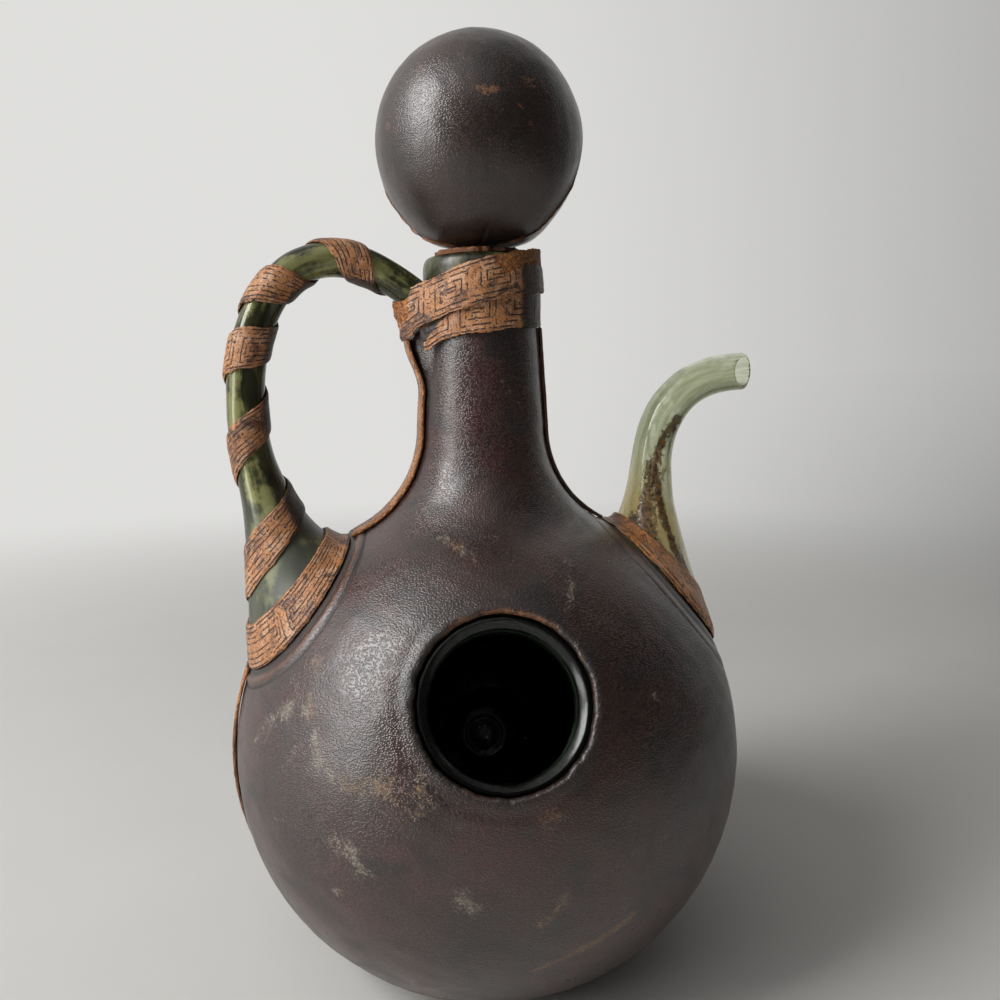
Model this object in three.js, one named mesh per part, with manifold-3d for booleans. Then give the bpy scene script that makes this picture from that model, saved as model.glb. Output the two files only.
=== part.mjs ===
// A blown glass decanter dressed in leather: a round bottle with an ice pocket in its front, a hollow
// handle and a curved spout, tooled strips over the seams, and a leather-covered ball as its stopper.
// Millimetres, +Z up. The origin is the middle of the flat base. The ice mouth faces -Y, the handle
// stands on the -X side and the spout on the +X side.

import * as THREE from "three";
import { mergeVertices } from "three/addons/utils/BufferGeometryUtils.js";
import Module from "manifold-3d";

// Clearances between pieces that touch, and along the cut edges of the leather.
const FIT_GAP = 0.3;
const SEAM_GAP = 0.4;

// Bottle, measured on the outside of the glass.
const BASE_RADIUS = 46;
const BELLY_RADIUS = 88.8;
const BELLY_HEIGHT = 75.6;
const SHOULDER_SWEEP = 42.5;
const NECK_RADIUS = 19.5;
const NECK_TOP_RADIUS = 16.5;
const RIM_HEIGHT = 249;
const LIP_HEIGHT = 12;
const LIP_FLARE = 3.5;
const GLASS_WALL = 2.6;

// Ice pocket: its axis leaves the belly's centre, turned from the front and raised by these degrees.
const POCKET_TURN = -8;
const POCKET_RISE = 29;
const POCKET_MOUTH_RADIUS = 26.5;
const POCKET_OPENING_RADIUS = 21.8;
const POCKET_THROAT_RADIUS = 24.5;
const POCKET_BULB_RADIUS = 28;
const POCKET_LIP_LENGTH = 9;
const POCKET_SWELL_LENGTH = 36;
const POCKET_DEPTH = 105;
const POCKET_WALL = 2.4;

// Flared feet of the handle and the spout, this many degrees down the belly from its pole. A foot
// spreads further to the front and back than up and down the belly.
const FOOT_POLAR = 50;
const FOOT_RADIUS = 25.5;
const FOOT_BREADTH = 27.7;
const FOOT_SINK = 9;
const FLARE_POWER = 2.4;
const FOOT_HOLE_RADIUS = 18;

// Handle: a flare that leans out and swells toward the neck, then one bend over to the neck.
const HANDLE_FLARE_LENGTH = 60;
const HANDLE_FLARE_RISE = 59;
const HANDLE_FLARE_REACH = 13;
const HANDLE_FLARE_SWELL = 1.3;
const HANDLE_LEAN = 5;
const HANDLE_RISE_PULL = 45;
const HANDLE_ENTRY = 46;
const HANDLE_ENTRY_PULL = 62;
const HANDLE_DROP = 21.5;
const HANDLE_RADIUS = 7.1;
const HANDLE_TOP_RADIUS = 5.4;
const HANDLE_WALL = 1.8;

// Spout: a flare that leans in, then one bend out to a level tip.
const SPOUT_FLARE_LENGTH = 50;
const SPOUT_FLARE_RISE = 39;
const SPOUT_FLARE_REACH = -3.4;
const SPOUT_FLARE_SWELL = 0.3;
const SPOUT_RISE_PULL = 23;
const SPOUT_TIP_PULL = 24;
const SPOUT_REACH = 36;
const SPOUT_LIFT = 37;
const SPOUT_RADIUS = 7.8;
const SPOUT_TIP_RADIUS = 6.9;
const SPOUT_WALL = 1.6;

// Body leather.
const LEATHER = 1.8;
const BASE_CUP_HEIGHT = 15;
const LEATHER_TOP_DROP = 15;
const LEATHER_MOUTH_RADIUS = 27;

// Tooled strips over the seams and collars round the feet.
const STRIP_WIDTH = 10;
const STRIP_THICKNESS = 1.2;
const STRIP_TAIL_HEIGHT = 8;
const STRIP_LIFT = 6;
const HANDLE_BAND_WIDTH = 7;
const SPOUT_BAND_WIDTH = 5;
const BAND_THICKNESS = 1.4;

// Two tooled bands round the top of the neck. Both rise from the handle to the spout, the upper one the
// more, and both leave the neck's round at the front and run straight on past the handle.
const NECK_BAND_WIDTH = 14.2;
const NECK_BAND_THICKNESS = 0.8;
const LOWER_BAND_DROP = 23.7;
const LOWER_BAND_RISE = 7;
const LOWER_BAND_TAIL = 14;
const UPPER_BAND_DROP = 11.8;
const UPPER_BAND_RISE = 15.4;
const UPPER_BAND_TAIL = 18;
const NECK_BAND_LEAVE_ANGLE = -38;
const NECK_BAND_END_ANGLE = 245;

// Strip wound round the handle, from the foot collar to the crown. It creeps up the straight stretch,
// where its turns lie further along than an even winding's.
const WRAP_WIDTH = 13;
const WRAP_THICKNESS = 0.9;
const WRAP_PITCH = 28.5;
const WRAP_TURNS = 4.7;
const WRAP_START = 15.5;
const WRAP_START_TURN = -30;
const WRAP_CREEP = 8;
const WRAP_CREEP_FROM = 0.35;
const WRAP_CREEP_TURNS = 3;

// Stopper.
const BALL_RADIUS = 35.1;
const BALL_LEATHER = 1.6;
const WASHER_RADIUS = 15;
const WASHER_THICKNESS = 1.2;
const CORK_PROUD = 0.6;
const CORK_INSERT = 31;
const CORK_TAPER = 1.4;
const DOWEL_RADIUS = 4;
const DOWEL_IN_CORK = 16;
const DOWEL_IN_BALL = 18;

// How finely round forms are divided.
const BODY_SEGMENTS = 32;
const ARC_STEPS = 5;
const NECK_STEPS = 3;
const LIP_STEPS = 4;
const POCKET_SEGMENTS = 18;
const BALL_SEGMENTS = 20;
const BALL_STEPS = 10;
const PEG_SEGMENTS = 16;
const TUBE_SIDES = 12;
const HANDLE_STATIONS = 20;
const SPOUT_STATIONS = 13;
const NECK_BAND_STEPS = 28;
const WRAP_STEPS_PER_TURN = 14;

// Sizes that follow from those above.
const LEATHER_OUT = FIT_GAP + LEATHER;
const GLASS_FLOOR = LEATHER_OUT;
const LIP_START = RIM_HEIGHT - LIP_HEIGHT;
const REACH = 2 * (RIM_HEIGHT + BELLY_RADIUS);
const BELLY_CENTRE = new THREE.Vector3(0, 0, BELLY_HEIGHT);
const FRONT = new THREE.Vector3(0, -1, 0);
const UP = new THREE.Vector3(0, 0, 1);
const radians = THREE.MathUtils.degToRad;
const blend = THREE.MathUtils.lerp;

const wasm = await Module();
wasm.setup();

// Solids

// A closed solid of a geometry, with its faces turned outward.
function solidOf(geometry) {
  const bare = new THREE.BufferGeometry();
  bare.setAttribute("position", geometry.getAttribute("position"));
  bare.setIndex(geometry.getIndex());
  const merged = mergeVertices(bare);
  const corners = merged.getIndex().array;
  const faces = [];
  for (let i = 0; i < corners.length; i += 3) {
    const [a, b, c] = corners.slice(i, i + 3);
    if (a !== b && b !== c && c !== a) {
      faces.push([a, b, c]);
    }
  }
  const vertProperties = merged.getAttribute("position").array;
  const build = (triVerts) => new wasm.Manifold(new wasm.Mesh({ numProp: 3, vertProperties, triVerts }));
  const solid = build(new Uint32Array(faces.flat()));
  if (solid.volume() > 0) {
    return solid;
  }
  return build(new Uint32Array(faces.flatMap(([a, b, c]) => [a, c, b])));
}

// The surface of a solid as a geometry.
function geometryOf(solid) {
  const mesh = solid.getMesh();
  const geometry = new THREE.BufferGeometry();
  geometry.setAttribute("position", new THREE.BufferAttribute(mesh.vertProperties, 3));
  geometry.setIndex(new THREE.BufferAttribute(mesh.triVerts, 1));
  geometry.computeVertexNormals();
  return geometry;
}

// An outline of radius and height points turned about Z. Its first column of points faces the front.
function revolve(outline, segments) {
  const geometry = new THREE.LatheGeometry(outline, segments);
  geometry.rotateX(Math.PI / 2);
  return solidOf(geometry);
}

// A skin through rings of equal point counts, closed at both ends.
function loft(rings) {
  const sides = rings[0].length;
  const points = rings.flat();
  const triangles = [];
  for (let ring = 0; ring + 1 < rings.length; ring += 1) {
    for (let side = 0; side < sides; side += 1) {
      const next = (side + 1) % sides;
      const here = ring * sides;
      const above = here + sides;
      triangles.push(here + side, here + next, above + next, here + side, above + next, above + side);
    }
  }
  const last = (rings.length - 1) * sides;
  for (let side = 1; side + 1 < sides; side += 1) {
    triangles.push(0, side + 1, side);
    triangles.push(last, last + side, last + side + 1);
  }
  const geometry = new THREE.BufferGeometry().setFromPoints(points);
  geometry.setIndex(triangles);
  return solidOf(geometry);
}

// A box between two corners.
function block(low, high) {
  const size = new THREE.Vector3().subVectors(high, low);
  const middle = new THREE.Vector3().addVectors(low, high).multiplyScalar(0.5);
  const geometry = new THREE.BoxGeometry(size.x, size.y, size.z);
  geometry.translate(middle.x, middle.y, middle.z);
  return solidOf(geometry);
}

// Everything between two heights.
function slab(low, high) {
  return block(new THREE.Vector3(-REACH, -REACH, low), new THREE.Vector3(REACH, REACH, high));
}

// Everything on the front (-1) or back (+1) side of the seam plane.
function halfSpace(side) {
  const near = (side * SEAM_GAP) / 2;
  const far = side * REACH;
  return block(
    new THREE.Vector3(-REACH, Math.min(near, far), -REACH),
    new THREE.Vector3(REACH, Math.max(near, far), REACH),
  );
}

// A round bar along a direction from the belly's centre, through the wall of the belly.
function drill(direction, radius) {
  const geometry = new THREE.CylinderGeometry(radius, radius, BELLY_RADIUS, BODY_SEGMENTS);
  geometry.rotateX(Math.PI / 2);
  geometry.translate(0, 0, BELLY_RADIUS);
  geometry.applyQuaternion(new THREE.Quaternion().setFromUnitVectors(UP, direction));
  geometry.translate(BELLY_CENTRE.x, BELLY_CENTRE.y, BELLY_CENTRE.z);
  return solidOf(geometry);
}

// Points on an arc of an ellipse, from one angle to another, both included.
function arc(centre, radiusAcross, radiusUp, from, to, steps) {
  return Array.from({ length: steps + 1 }, (_, i) => {
    const angle = blend(from, to, i / steps);
    return new THREE.Vector2(
      centre.x + radiusAcross * Math.cos(angle),
      centre.y + radiusUp * Math.sin(angle),
    );
  });
}

// Bottle form

// Height at which the shoulder's hollow curve turns into the neck.
const NECK_START =
  BELLY_HEIGHT + Math.sqrt((BELLY_RADIUS + SHOULDER_SWEEP) ** 2 - (NECK_RADIUS + SHOULDER_SWEEP) ** 2);

// Radius of the neck's glass at a height.
function neckRadius(height) {
  return blend(NECK_RADIUS, NECK_TOP_RADIUS, (height - NECK_START) / (LIP_START - NECK_START));
}

// Outline of the bottle from its floor to the lip, moved outward by an offset. The lower belly is part
// of an ellipse that meets the base, the upper belly part of a sphere, and the shoulder an arc that
// touches both the sphere and the neck.
function bodyOutline(offset) {
  const depth = (BELLY_HEIGHT - GLASS_FLOOR) / Math.sqrt(1 - (BASE_RADIUS / BELLY_RADIUS) ** 2) + offset;
  const floor = GLASS_FLOOR - offset;
  const floorAngle = Math.asin((BELLY_HEIGHT - floor) / depth);
  const middle = new THREE.Vector2(0, BELLY_HEIGHT);
  const sweepMiddle = new THREE.Vector2(NECK_RADIUS + SHOULDER_SWEEP, NECK_START);
  const meeting = Math.atan2(NECK_START - BELLY_HEIGHT, sweepMiddle.x);
  const belly = BELLY_RADIUS + offset;
  const sweep = SHOULDER_SWEEP - offset;
  const neck = Array.from({ length: NECK_STEPS }, (_, i) => {
    const height = blend(NECK_START, LIP_START, (i + 1) / NECK_STEPS);
    return new THREE.Vector2(neckRadius(height) + offset, height);
  });
  return [
    new THREE.Vector2(0, floor),
    ...arc(middle, belly, depth, -floorAngle, 0, ARC_STEPS),
    ...arc(middle, belly, belly, 0, meeting, ARC_STEPS).slice(1),
    ...arc(sweepMiddle, sweep, sweep, Math.PI + meeting, Math.PI, ARC_STEPS).slice(1),
    ...neck,
  ];
}

// Rounded lip round the rim, moved outward by an offset.
function lipOutline(offset) {
  const middle = new THREE.Vector2(NECK_TOP_RADIUS, RIM_HEIGHT - LIP_HEIGHT / 2);
  const half = LIP_HEIGHT / 2 + offset;
  return arc(middle, LIP_FLARE + offset, half, -Math.PI / 2, Math.PI / 2, LIP_STEPS).slice(1);
}

// The whole bottle without its hollow or its lip, moved outward by an offset.
function bodySolid(offset) {
  const outline = bodyOutline(offset);
  const top = outline[outline.length - 1];
  outline.push(new THREE.Vector2(top.x, RIM_HEIGHT), new THREE.Vector2(0, RIM_HEIGHT));
  return revolve(outline, BODY_SEGMENTS);
}

// A layer over the bottle, from one offset to another.
function bodyLayer(inside, outside) {
  return bodySolid(outside).subtract(bodySolid(inside));
}

// The bottle with its lip, grown by the fit clearance, to cut what is joined to it.
function bottleClearance() {
  const outline = [...bodyOutline(FIT_GAP), ...lipOutline(FIT_GAP)];
  outline.push(new THREE.Vector2(0, outline[outline.length - 1].y));
  return revolve(outline, BODY_SEGMENTS);
}

// Flared tubes

// Direction from the belly's centre through the middle of a foot, on the handle (-1) or spout (+1) side.
function footDirection(side) {
  const polar = radians(FOOT_POLAR);
  return new THREE.Vector3(side * Math.sin(polar), 0, Math.cos(polar));
}

// Middle of a foot, on the glass.
function footCentre(side) {
  return footDirection(side).multiplyScalar(BELLY_RADIUS).add(BELLY_CENTRE);
}

// Sections along a tube that stands on a flared foot: each has its centre, its direction, the outward
// direction across it, its radius that way and its breadth to the front. The sections turn from lying
// on the belly to standing square across the path, and the flare's middle swells toward the neck.
function tubeSections({ side, path, flareLength, swell, radius, endRadius, count }) {
  const normal = footDirection(side);
  const length = path.getLength();
  return Array.from({ length: count }, (_, i) => {
    const distance = blend(-FOOT_SINK, length, i / (count - 1));
    return tubeSection(distance);
  });

  function tubeSection(distance) {
    const share = Math.max(0, distance) / length;
    const flare = Math.max(0, 1 - distance / flareLength);
    const lie = Math.min(1, flare);
    const centre = path.getPoint(share);
    centre.addScaledVector(normal, Math.min(0, distance));
    const direction = path.getTangent(share).lerp(normal, lie).normalize();
    const outward = new THREE.Vector3(direction.z, 0, -direction.x).multiplyScalar(side);
    const middleOfFlare = (4 * lie * (1 - lie)) ** 2;
    centre.addScaledVector(outward, -swell * middleOfFlare);
    const tube = blend(radius, endRadius, share);
    const spread = flare ** FLARE_POWER;
    return {
      centre,
      direction,
      outward,
      radius: tube + (FOOT_RADIUS - radius) * spread,
      breadth: tube + (FOOT_BREADTH - radius) * spread,
    };
  }
}

// A point round a section, a margin outside it: turn 0 is outward, away from the neck, and a quarter
// turn is to the front.
function aroundSection(section, turn, margin) {
  return section.centre
    .clone()
    .addScaledVector(section.outward, (section.radius + margin) * Math.cos(turn))
    .addScaledVector(FRONT, (section.breadth + margin) * Math.sin(turn));
}

// The tube through sections, its radius grown by a margin, its ends run on by the same or a given length.
function tubeSolid(sections, margin, overrun = 0) {
  const last = sections.length - 1;
  const rings = sections.map((section, i) => {
    const run = (i === last ? overrun : 0) - (i === 0 ? overrun : 0);
    return Array.from({ length: TUBE_SIDES }, (_, k) => {
      const turn = (2 * Math.PI * k) / TUBE_SIDES;
      return aroundSection(section, turn, margin).addScaledVector(section.direction, run);
    });
  });
  return loft(rings);
}

// A hollow tube seated on the outside of the bottle.
function hollowTube(sections, wall) {
  return tubeSolid(sections, 0).subtract(tubeSolid(sections, -wall, wall)).subtract(bottleClearance());
}

// Path of the handle's middle line, from its foot to inside the neck wall.
function handlePath() {
  const foot = footCentre(-1);
  const flareTop = foot.clone().add(new THREE.Vector3(-HANDLE_FLARE_REACH, 0, HANDLE_FLARE_RISE));
  const lean = radians(HANDLE_LEAN);
  const rising = new THREE.Vector3(-Math.sin(lean), 0, Math.cos(lean));
  const entry = radians(HANDLE_ENTRY);
  const falling = new THREE.Vector3(Math.cos(entry), 0, -Math.sin(entry));
  const bore = NECK_TOP_RADIUS - GLASS_WALL;
  const neck = new THREE.Vector3(-bore, 0, RIM_HEIGHT - HANDLE_DROP);
  const path = new THREE.CurvePath();
  path.add(
    new THREE.QuadraticBezierCurve3(
      foot,
      flareTop.clone().addScaledVector(rising, -HANDLE_FLARE_RISE / 2),
      flareTop,
    ),
  );
  path.add(
    new THREE.CubicBezierCurve3(
      flareTop,
      flareTop.clone().addScaledVector(rising, HANDLE_RISE_PULL),
      neck.clone().addScaledVector(falling, -HANDLE_ENTRY_PULL),
      neck,
    ),
  );
  path.add(new THREE.LineCurve3(neck, neck.clone().addScaledVector(falling, HANDLE_RADIUS)));
  return path;
}

// Path of the spout's middle line, from its foot to its tip.
function spoutPath() {
  const foot = footCentre(1);
  const flareTop = foot.clone().add(new THREE.Vector3(SPOUT_FLARE_REACH, 0, SPOUT_FLARE_RISE));
  const tip = flareTop.clone().add(new THREE.Vector3(SPOUT_REACH, 0, SPOUT_LIFT));
  const path = new THREE.CurvePath();
  path.add(
    new THREE.QuadraticBezierCurve3(
      foot,
      flareTop.clone().addScaledVector(UP, -SPOUT_FLARE_RISE / 2),
      flareTop,
    ),
  );
  path.add(
    new THREE.CubicBezierCurve3(
      flareTop,
      flareTop.clone().addScaledVector(UP, SPOUT_RISE_PULL),
      tip.clone().add(new THREE.Vector3(-SPOUT_TIP_PULL, 0, 0)),
      tip,
    ),
  );
  return path;
}

const HANDLE = {
  side: -1,
  path: handlePath(),
  flareLength: HANDLE_FLARE_LENGTH,
  flareTop: footCentre(-1).z + HANDLE_FLARE_RISE,
  swell: HANDLE_FLARE_SWELL,
  bandWidth: HANDLE_BAND_WIDTH,
  stripLift: STRIP_LIFT,
  radius: HANDLE_RADIUS,
  endRadius: HANDLE_TOP_RADIUS,
  count: HANDLE_STATIONS,
};
const SPOUT = {
  side: 1,
  path: spoutPath(),
  flareLength: SPOUT_FLARE_LENGTH,
  flareTop: footCentre(1).z + SPOUT_FLARE_RISE,
  swell: SPOUT_FLARE_SWELL,
  bandWidth: SPOUT_BAND_WIDTH,
  stripLift: 0,
  radius: SPOUT_RADIUS,
  endRadius: SPOUT_TIP_RADIUS,
  count: SPOUT_STATIONS,
};
const HANDLE_SECTIONS = tubeSections(HANDLE);
const SPOUT_SECTIONS = tubeSections(SPOUT);

// Ice pocket form, along its own axis from the belly's centre.

const POCKET_DIRECTION = new THREE.Vector3(
  Math.sin(radians(POCKET_TURN)) * Math.cos(radians(POCKET_RISE)),
  -Math.cos(radians(POCKET_TURN)) * Math.cos(radians(POCKET_RISE)),
  Math.sin(radians(POCKET_RISE)),
);
const POCKET_HOLE_RADIUS = POCKET_MOUTH_RADIUS + FIT_GAP;
const POCKET_TOP = Math.sqrt(BELLY_RADIUS ** 2 - POCKET_HOLE_RADIUS ** 2);

// The wall swells from the throat behind the lip to a bulb and closes in a round end.
function pocketWall(inset) {
  const throat = POCKET_TOP - POCKET_LIP_LENGTH;
  const bulb = new THREE.Vector2(0, POCKET_TOP - POCKET_DEPTH + POCKET_BULB_RADIUS);
  const swell = Array.from({ length: ARC_STEPS + 1 }, (_, i) => {
    const ease = THREE.MathUtils.smoothstep(i / ARC_STEPS, 0, 1);
    const radius = blend(POCKET_THROAT_RADIUS, POCKET_BULB_RADIUS, ease);
    return new THREE.Vector2(radius - inset, throat - (POCKET_SWELL_LENGTH * i) / ARC_STEPS);
  });
  const round = POCKET_BULB_RADIUS - inset;
  return [...swell, ...arc(bulb, round, round, 0, -Math.PI / 2, ARC_STEPS)];
}

// Pieces of glass

function glassVessel() {
  const outline = [...bodyOutline(0), ...lipOutline(0)];
  const bore = bodyOutline(-GLASS_WALL).reverse();
  outline.push(new THREE.Vector2(bore[0].x, RIM_HEIGHT), ...bore);
  return revolve(outline, BODY_SEGMENTS)
    .subtract(drill(POCKET_DIRECTION, POCKET_HOLE_RADIUS))
    .subtract(drill(footDirection(-1), FOOT_HOLE_RADIUS))
    .subtract(drill(footDirection(1), FOOT_HOLE_RADIUS));
}

function icePocket() {
  const half = (POCKET_MOUTH_RADIUS - POCKET_OPENING_RADIUS) / 2;
  const lipMiddle = new THREE.Vector2(POCKET_OPENING_RADIUS + half, POCKET_TOP - half);
  const throat = POCKET_TOP - POCKET_LIP_LENGTH;
  const outline = [
    ...arc(lipMiddle, half, half, Math.PI, 0, LIP_STEPS),
    new THREE.Vector2(POCKET_MOUTH_RADIUS, throat),
    ...pocketWall(0),
    ...pocketWall(POCKET_WALL).reverse(),
    new THREE.Vector2(POCKET_OPENING_RADIUS, throat),
    lipMiddle.clone().add(new THREE.Vector2(-half, 0)),
  ];
  return revolve(outline, POCKET_SEGMENTS);
}

// Pieces of leather

// Half of the body's cover, cut round both feet.
function leatherPanel(side) {
  return bodyLayer(FIT_GAP, LEATHER_OUT)
    .intersect(slab(BASE_CUP_HEIGHT + SEAM_GAP, RIM_HEIGHT - LEATHER_TOP_DROP))
    .intersect(halfSpace(side))
    .subtract(tubeSolid(HANDLE_SECTIONS, FIT_GAP))
    .subtract(tubeSolid(SPOUT_SECTIONS, FIT_GAP));
}

function baseLeatherCup() {
  return bodyLayer(FIT_GAP, LEATHER_OUT).intersect(slab(-LEATHER, BASE_CUP_HEIGHT));
}

// A flat strip over the seam on one side, between two heights, that stops short of the foot's collar. Up
// the neck it is lifted off the leather, most at its top.
function seamStrip(tube, sections, low, high) {
  const inner = LEATHER_OUT + FIT_GAP;
  const half = STRIP_WIDTH / 2;
  const inside = bodyOutline(inner).slice(1);
  const outside = bodyOutline(inner + STRIP_THICKNESS).slice(1);
  const corner = (point, across) => {
    const lift = tube.stripLift * THREE.MathUtils.smoothstep(point.y, NECK_START, high);
    return new THREE.Vector3(tube.side * (point.x + lift), across, point.y);
  };
  const rings = inside.map((point, i) => [
    corner(point, -half),
    corner(point, half),
    corner(outside[i], half),
    corner(outside[i], -half),
  ]);
  const collar = FIT_GAP + BAND_THICKNESS + FIT_GAP;
  return loft(rings).intersect(slab(low, high)).subtract(tubeSolid(sections, collar));
}

// A collar round a foot: it stands on the leather and follows the flare.
function footBand(tube, sections) {
  const inner = LEATHER_OUT + FIT_GAP;
  return tubeSolid(sections, FIT_GAP + BAND_THICKNESS)
    .subtract(tubeSolid(sections, FIT_GAP))
    .intersect(bodyLayer(inner, inner + tube.bandWidth))
    .intersect(slab(0, tube.flareTop));
}

// Height of a neck band's lower edge at degrees from the front toward the spout, where it is highest.
function neckBandBottom({ drop, rise }, degrees) {
  return RIM_HEIGHT - drop - rise * ((90 - degrees) / 180) ** 2;
}

const LOWER_BAND = { drop: LOWER_BAND_DROP, rise: LOWER_BAND_RISE, tail: LOWER_BAND_TAIL };
const UPPER_BAND = { drop: UPPER_BAND_DROP, rise: UPPER_BAND_RISE, tail: UPPER_BAND_TAIL };
const LOWER_BAND_RADIUS = neckRadius(neckBandBottom(LOWER_BAND, -90)) + LEATHER_OUT + FIT_GAP;
const UPPER_BAND_RADIUS = LOWER_BAND_RADIUS + NECK_BAND_THICKNESS + FIT_GAP;
const RIM_BAND_RADIUS = NECK_TOP_RADIUS + LIP_FLARE + FIT_GAP;

// Inner edge of each band at degrees from the front, as radius and height points from its lower to its
// upper edge. The lower band stands straight. The upper one covers it and closes on the rim above it.
function lowerBandEdge(degrees) {
  const bottom = neckBandBottom(LOWER_BAND, degrees);
  return [0, 0.5, 1].map((share) => new THREE.Vector2(LOWER_BAND_RADIUS, bottom + share * NECK_BAND_WIDTH));
}

function upperBandEdge(degrees) {
  const bottom = neckBandBottom(UPPER_BAND, degrees);
  const top = bottom + NECK_BAND_WIDTH;
  const covered = neckBandBottom(LOWER_BAND, degrees) + NECK_BAND_WIDTH + FIT_GAP;
  const knee = THREE.MathUtils.clamp(covered, bottom + NECK_BAND_THICKNESS, top - NECK_BAND_THICKNESS);
  const closing = THREE.MathUtils.smoothstep(top, knee, knee + NECK_BAND_WIDTH / 2);
  return [
    new THREE.Vector2(UPPER_BAND_RADIUS, bottom),
    new THREE.Vector2(UPPER_BAND_RADIUS, knee),
    new THREE.Vector2(blend(UPPER_BAND_RADIUS, RIM_BAND_RADIUS, closing), top),
  ];
}

// A band from its straight tail beside the handle, across the front and round the back to the handle. The
// tail falls on at the slope with which the band leaves the neck.
function neckBand(band, radius, edgeAt) {
  const leaving = radians(NECK_BAND_LEAVE_ANGLE);
  const straight = new THREE.Vector3(-Math.cos(leaving), -Math.sin(leaving), 0);
  const [here, onward] = [0, 1].map((step) => neckBandBottom(band, NECK_BAND_LEAVE_ANGLE + step));
  const slope = (onward - here) / (radius * radians(1));
  const ring = (degrees, run) => {
    const angle = radians(degrees);
    const out = new THREE.Vector3(Math.sin(angle), -Math.cos(angle), 0);
    const edge = edgeAt(degrees);
    const corner = (point, reach) =>
      out
        .clone()
        .multiplyScalar(point.x + reach)
        .addScaledVector(straight, run)
        .addScaledVector(UP, point.y - slope * run);
    const inner = edge.map((point) => corner(point, 0));
    const outer = edge.map((point) => corner(point, NECK_BAND_THICKNESS));
    return [...inner, ...outer.reverse()];
  };
  const round = Array.from({ length: NECK_BAND_STEPS + 1 }, (_, i) =>
    ring(blend(NECK_BAND_LEAVE_ANGLE, NECK_BAND_END_ANGLE, i / NECK_BAND_STEPS), 0),
  );
  const rings = [ring(NECK_BAND_LEAVE_ANGLE, band.tail), ...round];
  return loft(rings).subtract(tubeSolid(HANDLE_SECTIONS, FIT_GAP));
}

// Sections of the handle at any distance along it, between the ones that make its glass.
function handleSectionAt(distance) {
  const length = HANDLE.path.getLength();
  const place = ((distance + FOOT_SINK) / (length + FOOT_SINK)) * (HANDLE_SECTIONS.length - 1);
  const index = Math.min(Math.floor(place), HANDLE_SECTIONS.length - 2);
  const [from, to] = [HANDLE_SECTIONS[index], HANDLE_SECTIONS[index + 1]];
  const share = place - index;
  return {
    centre: from.centre.clone().lerp(to.centre, share),
    outward: from.outward.clone().lerp(to.outward, share),
    radius: blend(from.radius, to.radius, share),
    breadth: blend(from.breadth, to.breadth, share),
  };
}

// Rings of the strip wound up the handle: across its width it follows the glass, and its underside is
// left inside the fit clearance, which cuts it to the glass.
function wrapRings() {
  const count = Math.round(WRAP_TURNS * WRAP_STEPS_PER_TURN);
  const across = [-0.5, 0, 0.5];
  return Array.from({ length: count + 1 }, (_, i) => {
    const wound = i / WRAP_STEPS_PER_TURN;
    const turn = radians(WRAP_START_TURN) + 2 * Math.PI * wound;
    const creep = THREE.MathUtils.clamp((wound - WRAP_CREEP_FROM) / WRAP_CREEP_TURNS, 0, 1);
    const middle = WRAP_START + WRAP_PITCH * wound + WRAP_CREEP * Math.sin(Math.PI * creep) ** 2;
    const row = (lift) =>
      across.map((share) => {
        const section = handleSectionAt(middle + share * WRAP_WIDTH);
        return aroundSection(section, turn, lift);
      });
    return [...row(0), ...row(FIT_GAP + WRAP_THICKNESS).reverse()];
  });
}

// Least distance between points of a winding that lie at least half a turn apart along it.
function leastGap(rings, stepsPerTurn) {
  let least = Infinity;
  rings.forEach((ring, i) => {
    rings.slice(i + stepsPerTurn / 2).forEach((other) => {
      ring.forEach((a) => {
        other.forEach((b) => {
          least = Math.min(least, a.distanceTo(b));
        });
      });
    });
  });
  return least;
}

function handleWrap() {
  const rings = wrapRings();
  const gap = leastGap(rings, WRAP_STEPS_PER_TURN);
  console.log(`handle_wrap: least gap to itself ${gap.toFixed(2)} mm`);
  const collarTop = bodySolid(LEATHER_OUT + FIT_GAP + HANDLE_BAND_WIDTH + FIT_GAP);
  return loft(rings)
    .subtract(tubeSolid(HANDLE_SECTIONS, FIT_GAP))
    .subtract(collarTop.intersect(slab(0, HANDLE.flareTop)));
}

// Pieces of the stopper, measured up from the rim.

const WASHER_BOTTOM = CORK_PROUD + FIT_GAP;
const BALL_BOTTOM = WASHER_BOTTOM + WASHER_THICKNESS + FIT_GAP;
const BALL_MIDDLE = new THREE.Vector2(0, BALL_BOTTOM + BALL_RADIUS);
const CORE_RADIUS = BALL_RADIUS - BALL_LEATHER - FIT_GAP;
const PEG_HOLE_RADIUS = DOWEL_RADIUS + FIT_GAP;
const DOWEL_BOTTOM = CORK_PROUD - DOWEL_IN_CORK;
const DOWEL_TOP = BALL_BOTTOM + DOWEL_IN_BALL;

function ballSolid(radius) {
  return revolve(arc(BALL_MIDDLE, radius, radius, -Math.PI / 2, Math.PI / 2, BALL_STEPS), BALL_SEGMENTS);
}

// A round peg between two heights.
function peg(radius, low, high) {
  const geometry = new THREE.CylinderGeometry(radius, radius, high - low, PEG_SEGMENTS);
  geometry.rotateX(Math.PI / 2);
  geometry.translate(0, 0, (low + high) / 2);
  return solidOf(geometry);
}

const dowelHole = peg(PEG_HOLE_RADIUS, DOWEL_BOTTOM - FIT_GAP, DOWEL_TOP + FIT_GAP);

function stopperLeather(side) {
  return ballSolid(BALL_RADIUS)
    .subtract(ballSolid(CORE_RADIUS + FIT_GAP))
    .intersect(halfSpace(side))
    .subtract(dowelHole);
}

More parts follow.
